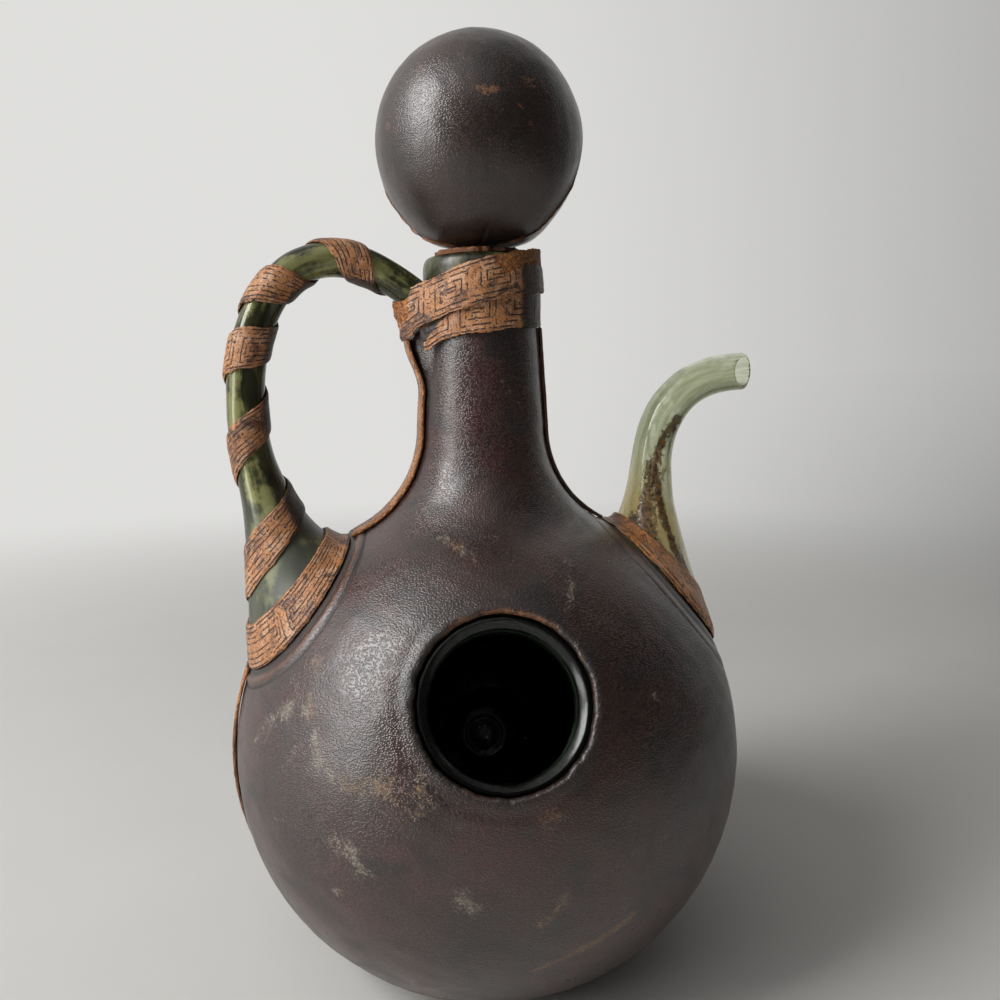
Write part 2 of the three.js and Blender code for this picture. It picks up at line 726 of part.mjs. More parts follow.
function stopperCork() {
  const seat = NECK_TOP_RADIUS - GLASS_WALL - FIT_GAP;
  const outline = [
    new THREE.Vector2(0, -CORK_INSERT),
    new THREE.Vector2(seat - CORK_TAPER, -CORK_INSERT),
    new THREE.Vector2(seat, 0),
    new THREE.Vector2(seat, CORK_PROUD),
    new THREE.Vector2(0, CORK_PROUD),
  ];
  return revolve(outline, BODY_SEGMENTS).subtract(dowelHole);
}

function stopperWasher() {
  return peg(WASHER_RADIUS, WASHER_BOTTOM, WASHER_BOTTOM + WASHER_THICKNESS).subtract(dowelHole);
}

// Assembly

const FINISH = {
  bottleGlass: { color: 0x24351f, roughness: 0.12, metalness: 0 },
  spoutGlass: { color: 0x9fb58a, roughness: 0.12, metalness: 0 },
  darkLeather: { color: 0x2f1e1a, roughness: 0.5, metalness: 0 },
  tooledLeather: { color: 0xa8683c, roughness: 0.6, metalness: 0 },
  cork: { color: 0xb98f62, roughness: 0.9, metalness: 0 },
  wood: { color: 0xa9855c, roughness: 0.7, metalness: 0 },
};

function addPiece(group, name, solid, finish) {
  const mesh = new THREE.Mesh(geometryOf(solid), new THREE.MeshStandardMaterial(finish));
  mesh.name = name;
  group.add(mesh);
}

const bottle = new THREE.Group();
addPiece(bottle, "glass_vessel", glassVessel(), FINISH.bottleGlass);
addPiece(bottle, "glass_handle", hollowTube(HANDLE_SECTIONS, HANDLE_WALL), FINISH.bottleGlass);
addPiece(bottle, "glass_spout", hollowTube(SPOUT_SECTIONS, SPOUT_WALL), FINISH.spoutGlass);

const pocketMount = new THREE.Group();
pocketMount.position.copy(BELLY_CENTRE);
pocketMount.quaternion.setFromUnitVectors(UP, POCKET_DIRECTION);
addPiece(pocketMount, "ice_pocket", icePocket(), FINISH.bottleGlass);
bottle.add(pocketMount);

const cover = new THREE.Group();
const mouthHole = drill(POCKET_DIRECTION, LEATHER_MOUTH_RADIUS);
addPiece(cover, "front_leather_panel", leatherPanel(-1).subtract(mouthHole), FINISH.darkLeather);
addPiece(cover, "back_leather_panel", leatherPanel(1), FINISH.darkLeather);
addPiece(cover, "base_leather_cup", baseLeatherCup(), FINISH.darkLeather);

const strips = new THREE.Group();
const feet = [
  ["handle", HANDLE, HANDLE_SECTIONS],
  ["spout", SPOUT, SPOUT_SECTIONS],
];
for (const [end, tube, sections] of feet) {
  const middle = footCentre(tube.side).z;
  const top = neckBandBottom(LOWER_BAND, 90 * tube.side) - FIT_GAP;
  const upper = seamStrip(tube, sections, middle, top);
  const lower = seamStrip(tube, sections, STRIP_TAIL_HEIGHT, middle);
  addPiece(strips, `seam_strip_${end}_upper`, upper, FINISH.tooledLeather);
  addPiece(strips, `seam_strip_${end}_lower`, lower, FINISH.tooledLeather);
  addPiece(strips, `${end}_foot_band`, footBand(tube, sections), FINISH.tooledLeather);
}
const lowerBand = neckBand(LOWER_BAND, LOWER_BAND_RADIUS, lowerBandEdge);
const upperBand = neckBand(UPPER_BAND, UPPER_BAND_RADIUS, upperBandEdge);
addPiece(strips, "neck_band_lower", lowerBand, FINISH.tooledLeather);
addPiece(strips, "neck_band_upper", upperBand, FINISH.tooledLeather);
addPiece(strips, "handle_wrap", handleWrap(), FINISH.tooledLeather);

const stopper = new THREE.Group();
stopper.position.z = RIM_HEIGHT;
addPiece(stopper, "stopper_ball_core", ballSolid(CORE_RADIUS).subtract(dowelHole), FINISH.wood);
addPiece(stopper, "stopper_leather_front", stopperLeather(-1), FINISH.darkLeather);
addPiece(stopper, "stopper_leather_back", stopperLeather(1), FINISH.darkLeather);
addPiece(stopper, "stopper_leather_washer", stopperWasher(), FINISH.tooledLeather);
addPiece(stopper, "stopper_cork", stopperCork(), FINISH.cork);
addPiece(stopper, "stopper_dowel", peg(DOWEL_RADIUS, DOWEL_BOTTOM, DOWEL_TOP), FINISH.wood);

const decanter = new THREE.Group();
decanter.name = "leather_wrapped_decanter";
decanter.add(bottle, cover, strips, stopper);

export default decanter;
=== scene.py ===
"""Looks of a leather-wrapped decanter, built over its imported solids.

Sizes are millimetres until a mesh is made, which is in metres. The frame is that of the solids: the origin
is the middle of the base, +Z is up, the ice mouth faces -Y, the handle stands at -X and the spout at +X.
"""

import logging
import math
from collections.abc import Callable, Sequence
from dataclasses import dataclass, field
from enum import Enum
from functools import reduce

import bpy
import numpy as np
from mathutils import Matrix, Vector


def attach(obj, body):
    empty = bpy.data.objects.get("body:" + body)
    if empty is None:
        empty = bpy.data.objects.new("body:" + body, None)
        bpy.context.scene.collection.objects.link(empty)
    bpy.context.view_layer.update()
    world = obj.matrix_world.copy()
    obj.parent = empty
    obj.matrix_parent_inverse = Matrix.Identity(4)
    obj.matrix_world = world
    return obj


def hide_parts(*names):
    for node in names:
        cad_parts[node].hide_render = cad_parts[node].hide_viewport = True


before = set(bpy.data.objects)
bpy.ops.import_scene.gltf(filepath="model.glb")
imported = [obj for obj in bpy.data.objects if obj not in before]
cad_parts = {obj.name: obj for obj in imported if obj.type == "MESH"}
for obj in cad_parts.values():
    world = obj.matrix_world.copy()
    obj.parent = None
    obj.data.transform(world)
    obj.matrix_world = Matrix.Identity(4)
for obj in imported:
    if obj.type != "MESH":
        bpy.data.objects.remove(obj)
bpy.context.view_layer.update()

MM = 0.001
UP = np.array([0.0, 0.0, 1.0])
FRONT = np.array([0.0, -1.0, 0.0])
FIT_GAP = 0.3
HIDE = 1.8
PATTERN_HEIGHT = 14.2
RUB_FADE = 1.25
CREASE = 50.0
FAR = 1000.0
log = logging.getLogger("decanter")

Array = np.ndarray
Points = np.ndarray
Marks = Callable[[Points, Array, Array], Array]
Colour = tuple[float, float, float]
Piece = bpy.types.Object
Material = bpy.types.Material
Socket = bpy.types.NodeSocket


class Body(Enum):
    """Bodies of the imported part."""

    DECANTER = "decanter"
    STOPPER = "stopper"


class Slot(Enum):
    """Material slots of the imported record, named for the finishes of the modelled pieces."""

    BOTTLE_GLASS = "bottle_glass"
    SPOUT_GLASS = "spout_glass"
    DARK_LEATHER = "dark_leather"
    TOOLED_LEATHER = "tooled_leather"
    CORK = "cork"


class Side(Enum):
    """Sides of the decanter, by the sign of the axis that they lie on."""

    HANDLE = -1
    SPOUT = 1


class Half(Enum):
    """Halves of a leather cover, by the degrees from the front at which their middles lie."""

    FRONT = 0.0
    BACK = 180.0

    @property
    def ahead(self) -> int:
        """Sign of Y on this half."""
        return -1 if self is Half.FRONT else 1


class Tooling(Enum):
    """Length of one key figure on a tooled strip, for a strip of the pattern's own height."""

    KEY = 16.0
    LONG_KEY = 46.0


# Small sums on arrays


def smooth(value: Array | float, low: float, high: float) -> Array:
    """Rises smoothly from 0 where a value is low to 1 where it is high."""
    share = np.clip((np.asarray(value, float) - low) / (high - low), 0.0, 1.0)
    return share * share * (3.0 - 2.0 * share)


def bell(value: Array, middle: float, width: float) -> Array:
    """A smooth hump of height 1 about a middle, mostly faded at a width from it."""
    return np.exp(-(((value - middle) / width) ** 2))


def unit(vectors: Array) -> Array:
    """Vectors scaled to length 1."""
    return vectors / np.linalg.norm(vectors, axis=-1, keepdims=True)


def lengths(vectors: Array) -> Array:
    """Length of each vector."""
    return np.linalg.norm(vectors, axis=-1)


def travelled(line: Points) -> Array:
    """Distance along a line of points, at each of them."""
    return np.concatenate([[0.0], np.cumsum(lengths(np.diff(line, axis=0)))])


def heading(turn: float, rise: float = 0.0) -> Points:
    """Direction at degrees from the front toward the spout, and degrees above the level."""
    turn, rise = math.radians(turn), math.radians(rise)
    return np.array([math.sin(turn) * math.cos(rise), -math.cos(turn) * math.cos(rise), math.sin(rise)])


def rounded_off(distance: Array, width: float, least: float) -> Array:
    """Share of the full thickness at a distance from an edge that is rounded off over a width."""
    return least + (1.0 - least) * np.sqrt(1.0 - (1.0 - np.clip(distance / width, 0.0, 1.0)) ** 2)


def off_axis(points: Points, centre: Points, axis: Points) -> Array:
    """Distance of points from an axis on the side that it points to, and far away behind its start.

    Args:
        points: Places.
        centre: Start of the axis.
        axis: Its direction.

    Returns:
        A distance for each place.
    """
    from_centre = points - centre
    along = from_centre @ axis
    return np.where(along > 0.0, lengths(from_centre - along[..., None] * axis), FAR)


def ripple(points: Points, length: float, seed: int, waves: int = 14) -> Array:
    """An even, smooth unevenness in space, with no direction of its own.

    Args:
        points: Places, in millimetres.
        length: Size of one hump.
        seed: Picks the waves.
        waves: How many waves are summed.

    Returns:
        A value for each place, about -1 to 1.
    """
    draw = np.random.default_rng(seed)
    total = np.zeros(points.shape[:-1])
    for _ in range(waves):
        along = unit(draw.normal(size=3)) * draw.uniform(0.7, 1.6)
        total += np.sin(points @ along * (2.0 * math.pi / length) + draw.uniform(0.0, 2.0 * math.pi))
    return total * math.sqrt(2.0 / waves) * 0.5


def resampled(line: Points, count: int) -> Points:
    """Points at even steps along a line of points.

    Args:
        line: Points in order, one to a row.
        count: How many points to give back.

    Returns:
        The evenly spaced points.
    """
    reached = travelled(line[:, :2])
    wanted = np.linspace(0.0, reached[-1], count)
    return np.stack([np.interp(wanted, reached, column) for column in line.T], axis=1)


# Surfaces and solids


@dataclass
class Sheet:
    """A surface of polygons that the two faces of a piece are raised from.

    Attributes:
        points: Places of the corners, one to a row.
        normals: Direction in which thickness is measured at each corner.
        faces: Corners of each polygon.
        values: Named numbers at the corners, which the finishes can read.
    """

    points: Points
    normals: Points
    faces: list[tuple[int, ...]]
    values: dict[str, Array] = field(default_factory=dict)

    @classmethod
    def grid(cls, points: Points, normals: Points, wraps: bool = False) -> "Sheet":
        """A sheet over rows and columns of points.

        Args:
            points: Places, as rows by columns by 3.
            normals: Directions, laid out alike.
            wraps: Whether the last column joins the first.

        Returns:
            The sheet, with its faces turned the way of its normals.
        """
        rows, columns = points.shape[:2]
        index = np.arange(rows * columns).reshape(rows, columns)
        if wraps:
            index = np.concatenate([index, index[:, :1]], axis=1)
        quads = np.stack([index[:-1, :-1], index[:-1, 1:], index[1:, 1:], index[1:, :-1]], axis=-1)
        quads = quads.reshape(-1, 4)
        flat, flat_normals = points.reshape(-1, 3), normals.reshape(-1, 3)
        across = np.cross(flat[quads[:, 2]] - flat[quads[:, 0]], flat[quads[:, 3]] - flat[quads[:, 1]])
        if np.sum(across * flat_normals[quads[:, 0]]) < 0.0:
            quads = quads[:, ::-1]
        return cls(flat, flat_normals, [tuple(quad) for quad in quads.tolist()])

    def clipped(self, clear: Array) -> "Sheet":
        """The part of the sheet where a value is positive, cut along its zero line.

        Args:
            clear: Value at each corner.

        Returns:
            The cut sheet. Its values are carried over.
        """
        keep = clear > 0.0
        fresh: dict[tuple[int, int], int] = {}
        faces: list[list[int]] = []
        for face in self.faces:
            count = sum(bool(keep[i]) for i in face)
            if count == 0:
                continue
            if count == len(face):
                faces.append(list(face))
                continue
            ring: list[int] = []
            for a, b in zip(face, face[1:] + face[:1]):
                if keep[a]:
                    ring.append(a)
                if keep[a] != keep[b]:
                    edge = (min(a, b), max(a, b))
                    ring.append(fresh.setdefault(edge, len(self.points) + len(fresh)))
            faces.append(ring)
        ends = np.array(list(fresh), int).reshape(-1, 2)
        share = clear[ends[:, 0]] / (clear[ends[:, 0]] - clear[ends[:, 1]])

        def extended(data: Array) -> Array:
            """Values at the old corners and on the cut."""
            weight = share if data.ndim == 1 else share[:, None]
            return np.concatenate([data, data[ends[:, 0]] * (1.0 - weight) + data[ends[:, 1]] * weight])

        used = np.unique([i for face in faces for i in face])
        place = np.full(len(self.points) + len(fresh), -1)
        place[used] = np.arange(len(used))
        return Sheet(
            extended(self.points)[used],
            unit(extended(self.normals)[used]),
            [tuple(place[face].tolist()) for face in faces],
            {name: extended(data)[used] for name, data in self.values.items()},
        )

    def refined(self, near: Array) -> "Sheet":
        """The sheet with its faces split in four where a flag is set.

        Args:
            near: Flag at each corner. A face is split where any of its corners has it.

        Returns:
            The finer sheet. The faces beside a split one take up its new corners, so nothing gapes.
        """
        flags = near.tolist()
        split = [any(flags[i] for i in face) for face in self.faces]
        middles: dict[tuple[int, int], int] = {}
        for face in (face for face, fine in zip(self.faces, split) if fine):
            for a, b in zip(face, face[1:] + face[:1]):
                middles.setdefault((min(a, b), max(a, b)), len(self.points) + len(middles))
        hubs: list[tuple[int, ...]] = []
        faces: list[tuple[int, ...]] = []
        for face, fine in zip(self.faces, split):
            ring: list[int] = []
            for a, b in zip(face, face[1:] + face[:1]):
                ring.append(a)
                middle = middles.get((min(a, b), max(a, b)))
                if middle is not None:
                    ring.append(middle)
            if not fine:
                faces.append(tuple(ring))
                continue
            hub = len(self.points) + len(middles) + len(hubs)
            faces += [(ring[k], ring[k + 1], hub, ring[k - 1]) for k in range(0, len(ring), 2)]
            hubs.append(face)
        ends = np.array(list(middles), int).reshape(-1, 2)

        def extended(data: Array) -> Array:
            """Values at the old corners, on the split edges and in the split faces."""
            inside = [data[list(face)].mean(axis=0) for face in hubs]
            return np.concatenate([data, data[ends].mean(axis=1), inside])

        values = {name: extended(data) for name, data in self.values.items()}
        return Sheet(extended(self.points), unit(extended(self.normals)), faces, values)

    def raised(self, height: Array | float) -> Points:
        """Corners moved along their normals by a height."""
        return self.points + self.normals * np.broadcast_to(height, len(self.points))[:, None]

    def solid(self, name: str, outer: Points, inner: Points) -> Piece:
        """A closed piece between two layers of corners.

        Args:
            name: Name of the piece.
            outer: Corners of its outer face.
            inner: Corners of its inner face.

        Returns:
            The piece. Its outer face has the value skin of 1, and its inner face of 0.
        """
        count = len(self.points)
        used: dict[tuple[int, int], int] = {}
        for face in self.faces:
            for edge in zip(face, face[1:] + face[:1]):
                used[edge] = used.get(edge, 0) + 1
        rim = [(a, b) for a, b in used if (b, a) not in used]
        faces = list(self.faces)
        faces += [tuple(i + count for i in reversed(face)) for face in self.faces]
        faces += [(b, a, a + count, b + count) for a, b in rim]
        values = {key: np.concatenate([data, data]) for key, data in self.values.items()}
        values["skin"] = np.concatenate([np.ones(count), np.zeros(count)])
        return piece_of(name, np.concatenate([outer, inner]), faces, values)


def piece_of(
    name: str, corners: Points, faces: Sequence[Sequence[int]], values: dict[str, Array] | None = None
) -> Piece:
    """A smooth-shaded mesh object.

    Args:
        name: Name of the object.
        corners: Places in millimetres.
        faces: Corners of each face.
        values: Named numbers at the corners.

    Returns:
        The object, linked to the scene.
    """
    mesh = bpy.data.meshes.new(name)
    mesh.from_pydata((corners * MM).tolist(), [], faces)
    for key, data in (values or {}).items():
        kind, field_name = ("FLOAT", "value") if data.ndim == 1 else ("FLOAT_VECTOR", "vector")
        attribute = mesh.attributes.new(key, kind, "POINT")
        attribute.data.foreach_set(field_name, np.asarray(data, np.float32).reshape(-1))
    mesh.shade_smooth()
    mesh.set_sharp_from_angle(angle=math.radians(CREASE))
    mesh.validate()
    thing = bpy.data.objects.new(name, mesh)
    bpy.context.scene.collection.objects.link(thing)
    return thing


def turned(name: str, outline: Sequence[tuple[float, float]], segments: int = 96) -> Piece:
    """A solid of revolution about Z.

    Args:
        name: Name of the piece.
        outline: Radius and height points, from the axis at the bottom to the axis at the top.
        segments: Steps round the axis.

    Returns:
        The piece.
    """
    turn = np.linspace(0.0, 2.0 * math.pi, segments, endpoint=False)
    spokes = np.stack([np.sin(turn), -np.cos(turn), np.zeros(segments)], axis=1)
    rings = [radius * spokes + UP * height for radius, height in outline[1:-1]]
    corners = np.concatenate([[[0.0, 0.0, outline[0][1]]], *rings, [[0.0, 0.0, outline[-1][1]]]])
    last = len(corners) - 1
    faces: list[tuple[int, ...]] = []
    for k in range(segments):
        near, far = 1 + k, 1 + (k + 1) % segments
        faces.append((0, far, near))
        for ring in range(len(rings) - 1):
            low, high = ring * segments, (ring + 1) * segments
            faces.append((low + near, low + far, high + far, high + near))
        top = (len(rings) - 1) * segments
        faces.append((top + near, top + far, last))
    return piece_of(name, corners, faces)


def fit(thing: Piece, body: Body, slot: Slot, material: Material, *nodes: str) -> None:
    """Dresses a piece, sets it on its body and lets it stand for its solids.

    Args:
        thing: The piece.
        body: Body that it moves with.
        slot: Slot of the record that its finish belongs to. Not used.
        material: Its finish.
        nodes: Solids that it replaces.
    """
    thing.data.materials.append(material)
    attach(thing, body.value)
    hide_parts(*nodes)
    count = len(thing.data.polygons)
    log.info("%s: %d faces, on %s, for %s", thing.name, count, body.value, ", ".join(nodes))


# Forms of the glass


@dataclass(frozen=True)
class BottleForm:
    """Outside of the blown bottle, in millimetres."""

    base_radius: float = 46.0
    belly_radius: float = 88.8
    belly_height: float = 75.6
    shoulder_sweep: float = 42.5
    neck_radius: float = 19.5
    neck_top_radius: float = 16.5
    rim_height: float = 249.0
    lip_height: float = 12.0
    lip_flare: float = 3.5
    glass_wall: float = 2.6
    floor: float = 2.1

    @property
    def neck_start(self) -> float:
        """Height at which the shoulder's hollow curve turns into the neck."""
        reach = self.belly_radius + self.shoulder_sweep
        return self.belly_height + math.sqrt(reach**2 - (self.neck_radius + self.shoulder_sweep) ** 2)

    @property
    def lip_start(self) -> float:
        """Height at which the rounded lip begins."""
        return self.rim_height - self.lip_height

    @property
    def belly_centre(self) -> Points:
        """Middle of the belly."""
        return np.array([0.0, 0.0, self.belly_height])

    def off_belly(self, points: Points) -> Array:
        """Distance of points from the belly's glass."""
        return lengths(points - self.belly_centre) - self.belly_radius

    def neck_radius_at(self, height: Array | float) -> Array:
        """Radius of the neck's glass at a height."""
        share = (np.asarray(height, float) - self.neck_start) / (self.lip_start - self.neck_start)
        return self.neck_radius + (self.neck_top_radius - self.neck_radius) * share

    def profile(self, count: int, low: float, high: float) -> Points:
        """The outline between two heights, below the lip.

        Args:
            count: How many points to give.
            low: Lowest height.
            high: Highest height.

        Returns:
            Rows of radius, height, and the two parts of the outward normal.
        """
        steps = np.linspace(0.0, 1.0, 240)
        belly, middle = self.belly_radius, self.belly_height
        depth = (middle - self.floor) / math.sqrt(1.0 - (self.base_radius / belly) ** 2)
        sweep_x = self.neck_radius + self.shoulder_sweep
        meeting = math.atan2(self.neck_start - middle, sweep_x)
        lower = -math.asin((middle - self.floor) / depth) * (1.0 - steps)
        upper = meeting * steps
        hollow = math.pi + meeting * (1.0 - steps)
        neck = self.neck_start + (self.lip_start - self.neck_start) * steps
        slope = (self.neck_radius - self.neck_top_radius) / (self.lip_start - self.neck_start)
        ones = np.ones_like(steps)
        parts = [
            (
                belly * np.cos(lower),
                middle + depth * np.sin(lower),
                np.cos(lower) / belly,
                np.sin(lower) / depth,
            ),
            (belly * np.cos(upper), middle + belly * np.sin(upper), np.cos(upper), np.sin(upper)),
            (
                sweep_x + self.shoulder_sweep * np.cos(hollow),
                self.neck_start + self.shoulder_sweep * np.sin(hollow),
                -np.cos(hollow),
                -np.sin(hollow),
            ),
            (self.neck_radius_at(neck), neck, ones, slope * ones),
        ]
        line = np.concatenate([np.stack(part, axis=1) for part in parts])
        line[:, 2:] = unit(line[:, 2:])
        ends = np.array([[np.interp(h, line[:, 1], column) for column in line.T] for h in (low, high)])
        inside = line[(line[:, 1] > low) & (line[:, 1] < high)]
        return resampled(np.concatenate([ends[:1], inside, ends[1:]]), count)

    def turned_grid(self, profile: Points, angles: Array, offset: float) -> tuple[Points, Points]:
        """Points and normals of the outline turned about Z.

        Args:
            profile: Rows of radius, height and normal.
            angles: Degrees from the front, toward the spout.
            offset: Distance outside the glass.

        Returns:
            Points and normals, as rows by columns by 3.
        """
        radius = (profile[:, 0] + offset * profile[:, 2])[:, None]
        height = (profile[:, 1] + offset * profile[:, 3])[:, None]
        across, ahead = np.sin(np.radians(angles))[None], -np.cos(np.radians(angles))[None]
        level = np.ones_like(across)
        points = np.stack([radius * across, radius * ahead, height * level], axis=-1)
        out, rise = profile[:, 2:3], profile[:, 3:4]
        return points, np.stack([out * across, out * ahead, rise * level], axis=-1)


@dataclass(frozen=True)
class PocketForm:
    """Ice pocket, along an axis that leaves the belly's centre, in millimetres and degrees."""

    turn: float = -8.0
    rise: float = 29.0
    mouth_radius: float = 26.5
    opening_radius: float = 21.8
    throat_radius: float = 24.5
    bulb_radius: float = 28.0
    lip_length: float = 9.0
    swell_length: float = 36.0
    depth: float = 105.0
    wall: float = 2.4
    leather_radius: float = 26.3

    @property
    def axis(self) -> Points:
        """Direction out of the mouth."""
        return heading(self.turn, self.rise)


@dataclass(frozen=True)
class FlaredTube:
    """A glass tube that stands on a flared foot on the belly, in millimetres and degrees."""

    bottle: BottleForm
    side: Side
    flare_length: float
    flare_rise: float
    flare_reach: float
    swell: float
    radius: float
    end_radius: float
    wall: float
    band_width: float
    brim: float
    foot_polar: float = 50.0
    foot_radius: float = 25.5
    foot_breadth: float = 27.7
    foot_sink: float = 9.0
    flare_power: float = 2.4

    @property
    def foot_normal(self) -> Points:
        """Direction from the belly's centre through the foot."""
        polar = math.radians(self.foot_polar)
        return np.array([self.side.value * math.sin(polar), 0.0, math.cos(polar)])

    @property
    def foot(self) -> Points:
        """Middle of the foot, on the glass."""
        return self.bottle.belly_centre + self.foot_normal * self.bottle.belly_radius

    @property
    def flare_top(self) -> Points:
        """Where the flare hands over to the bend."""
        return self.foot + np.array([self.flare_reach, 0.0, self.flare_rise])

    def spine(self) -> Points:
        """Points along the middle line, from the foot to the end."""
        raise NotImplementedError

    @staticmethod
    def bezier(*controls: Points, steps: int = 120) -> Points:
        """Points on a curve of one span.

        Args:
            controls: Its 3 or 4 control points.
            steps: How many points to give.

        Returns:
            Points, one to a row.
        """
        share = np.linspace(0.0, 1.0, steps)[:, None]
        order = len(controls) - 1
        weights = [math.comb(order, i) * share**i * (1.0 - share) ** (order - i) for i in range(order + 1)]
        return sum(weight * control for weight, control in zip(weights, controls))

    @property
    def length(self) -> float:
        """Length of the middle line."""
        return float(travelled(self.spine())[-1])

    def surface(self, distance: Array, turn: Array, margin: Array | float) -> Points:
        """Points round the tube.

        Args:
            distance: How far along the middle line, below 0 for the sunk end of the foot.
            turn: Radians round the tube: 0 is away from the neck, a quarter turn is to the front.
            margin: Distance outside the glass.

        Returns:
            Points, laid out as the distances are.
        """
        line = self.spine()
        reached = travelled(line)
        tangents = unit(np.gradient(line, reached, axis=0))
        held = np.clip(distance, 0.0, reached[-1])
        centre = np.stack([np.interp(held, reached, column) for column in line.T], axis=-1)
        tangent = np.stack([np.interp(held, reached, column) for column in tangents.T], axis=-1)
        centre = centre + np.minimum(0.0, distance)[..., None] * self.foot_normal
        flare = np.maximum(0.0, 1.0 - distance / self.flare_length)
        lie = np.minimum(1.0, flare)[..., None]
        direction = unit(tangent * (1.0 - lie) + self.foot_normal * lie)
        outward = np.stack([direction[..., 2], np.zeros_like(flare), -direction[..., 0]], axis=-1)
        outward = outward * self.side.value
        centre = centre - outward * self.swell * (4.0 * lie * (1.0 - lie)) ** 2
        tube = self.radius + (self.end_radius - self.radius) * held / reached[-1]
        spread = flare**self.flare_power
        radius = tube + (self.foot_radius - self.radius) * spread + margin
        breadth = tube + (self.foot_breadth - self.radius) * spread + margin
        round_out = (radius * np.cos(turn))[..., None] * outward
        return centre + round_out + (breadth * np.sin(turn))[..., None] * FRONT

    def off_foot(self, points: Points) -> Array:
        """Distance of points on the belly from the outside of the foot.

        Args:
            points: Places on or near the belly.

        Returns:
            A distance for each place, negative inside the foot.
        """
        from_foot = points - self.foot
        height = from_foot @ self.foot_normal
        along = np.cross(self.foot_normal, FRONT)
        spread = (1.0 - np.clip(height, -self.foot_sink, 0.0) / self.flare_length) ** self.flare_power
        radius = self.radius + (self.foot_radius - self.radius) * spread
        breadth = self.radius + (self.foot_breadth - self.radius) * spread
        share = np.hypot(from_foot @ along / radius, from_foot @ FRONT / breadth)
        away = np.where(height < -self.bottle.belly_radius, FAR, 0.0)
        return (share - 1.0) * (radius + breadth) / 2.0 + away

    def pushed_clear(self, points: Points, gap: float) -> Points:
        """Points moved straight away from the foot's axis until they clear its outside.

        Args:
            points: Places on or near the belly.
            gap: Distance to keep.

        Returns:
            The moved places.
        """
        short = np.maximum(0.0, gap - self.off_foot(points))
        from_foot = points - self.foot
        level = from_foot - (from_foot @ self.foot_normal)[:, None] * self.foot_normal
        return points + short[:, None] * level / np.maximum(lengths(level), 1e-6)[:, None]


@dataclass(frozen=True)
class HandleTube(FlaredTube):
    """The handle: a flare that leans out, then one bend over to the neck."""

    lean: float = 5.0
    rise_pull: float = 45.0
    entry: float = 46.0
    entry_pull: float = 62.0
    drop: float = 21.5

    def spine(self) -> Points:
        """The middle line, from the foot to inside the neck wall.

        Returns:
            Points along it, one to a row.
        """
        lean, entry = math.radians(self.lean), math.radians(self.entry)
        rising = np.array([-math.sin(lean), 0.0, math.cos(lean)])
        falling = np.array([math.cos(entry), 0.0, -math.sin(entry)])
        bore = self.bottle.neck_top_radius - self.bottle.glass_wall
        neck = np.array([-bore, 0.0, self.bottle.rim_height - self.drop])
        top = self.flare_top
        flare = self.bezier(self.foot, top - rising * self.flare_rise / 2.0, top)
        bend = self.bezier(top, top + rising * self.rise_pull, neck - falling * self.entry_pull, neck)
        return np.concatenate([flare, bend[1:], [neck + falling * self.radius]])


@dataclass(frozen=True)
class SpoutTube(FlaredTube):
    """The spout: a flare that leans in, then one bend out to a level tip."""

    rise_pull: float = 23.0
    tip_pull: float = 24.0
    reach: float = 36.0
    lift: float = 37.0

    def spine(self) -> Points:
        """The middle line, from the foot to the tip.

        Returns:
            Points along it, one to a row.
        """
        top = self.flare_top
        tip = top + np.array([self.reach, 0.0, self.lift])
        flare = self.bezier(self.foot, top - UP * self.flare_rise / 2.0, top)
        bend = self.bezier(top, top + UP * self.rise_pull, tip - np.array([self.tip_pull, 0.0, 0.0]), tip)
        return np.concatenate([flare, bend[1:]])


BOTTLE = BottleForm()
POCKET = PocketForm()
HANDLE = HandleTube(
    bottle=BOTTLE,
    side=Side.HANDLE,
    flare_length=60.0,
    flare_rise=59.0,
    flare_reach=-13.0,
    swell=1.3,
    radius=7.1,
    end_radius=5.4,
    wall=1.8,
    band_width=7.0,
    brim=0.0,
)
SPOUT = SpoutTube(
    bottle=BOTTLE,
    side=Side.SPOUT,
    flare_length=50.0,
    flare_rise=39.0,
    flare_reach=-3.4,
    swell=0.3,
    radius=7.8,
    end_radius=6.9,
    wall=1.6,
    band_width=5.0,
    brim=3.0,
)


@dataclass(frozen=True)
class SeamFin:
    """The hide's edges on the handle's side, which stand off the neck together under the handle's end."""

    low: float = 203.0
    high: float = 222.0
    reach: float = 6.0
    half_width: float = 8.0
    ridge: float = 2.0
    fade: float = 7.0

    def away(self, height: Array) -> Array:
        """How far the seam stands off the neck at a height."""
        return self.reach * smooth(height, self.low, self.high)

    def hide(self, points: Points) -> Array:
        """How far the hide stands off the neck, for places on it."""
        near = smooth(np.abs(points[:, 1]), self.half_width, self.ridge) * (points[:, 0] < 0.0)
        return self.away(points[:, 2]) * near * smooth(points[:, 2], self.high + self.fade, self.high)


FIN = SeamFin()


# Finishes


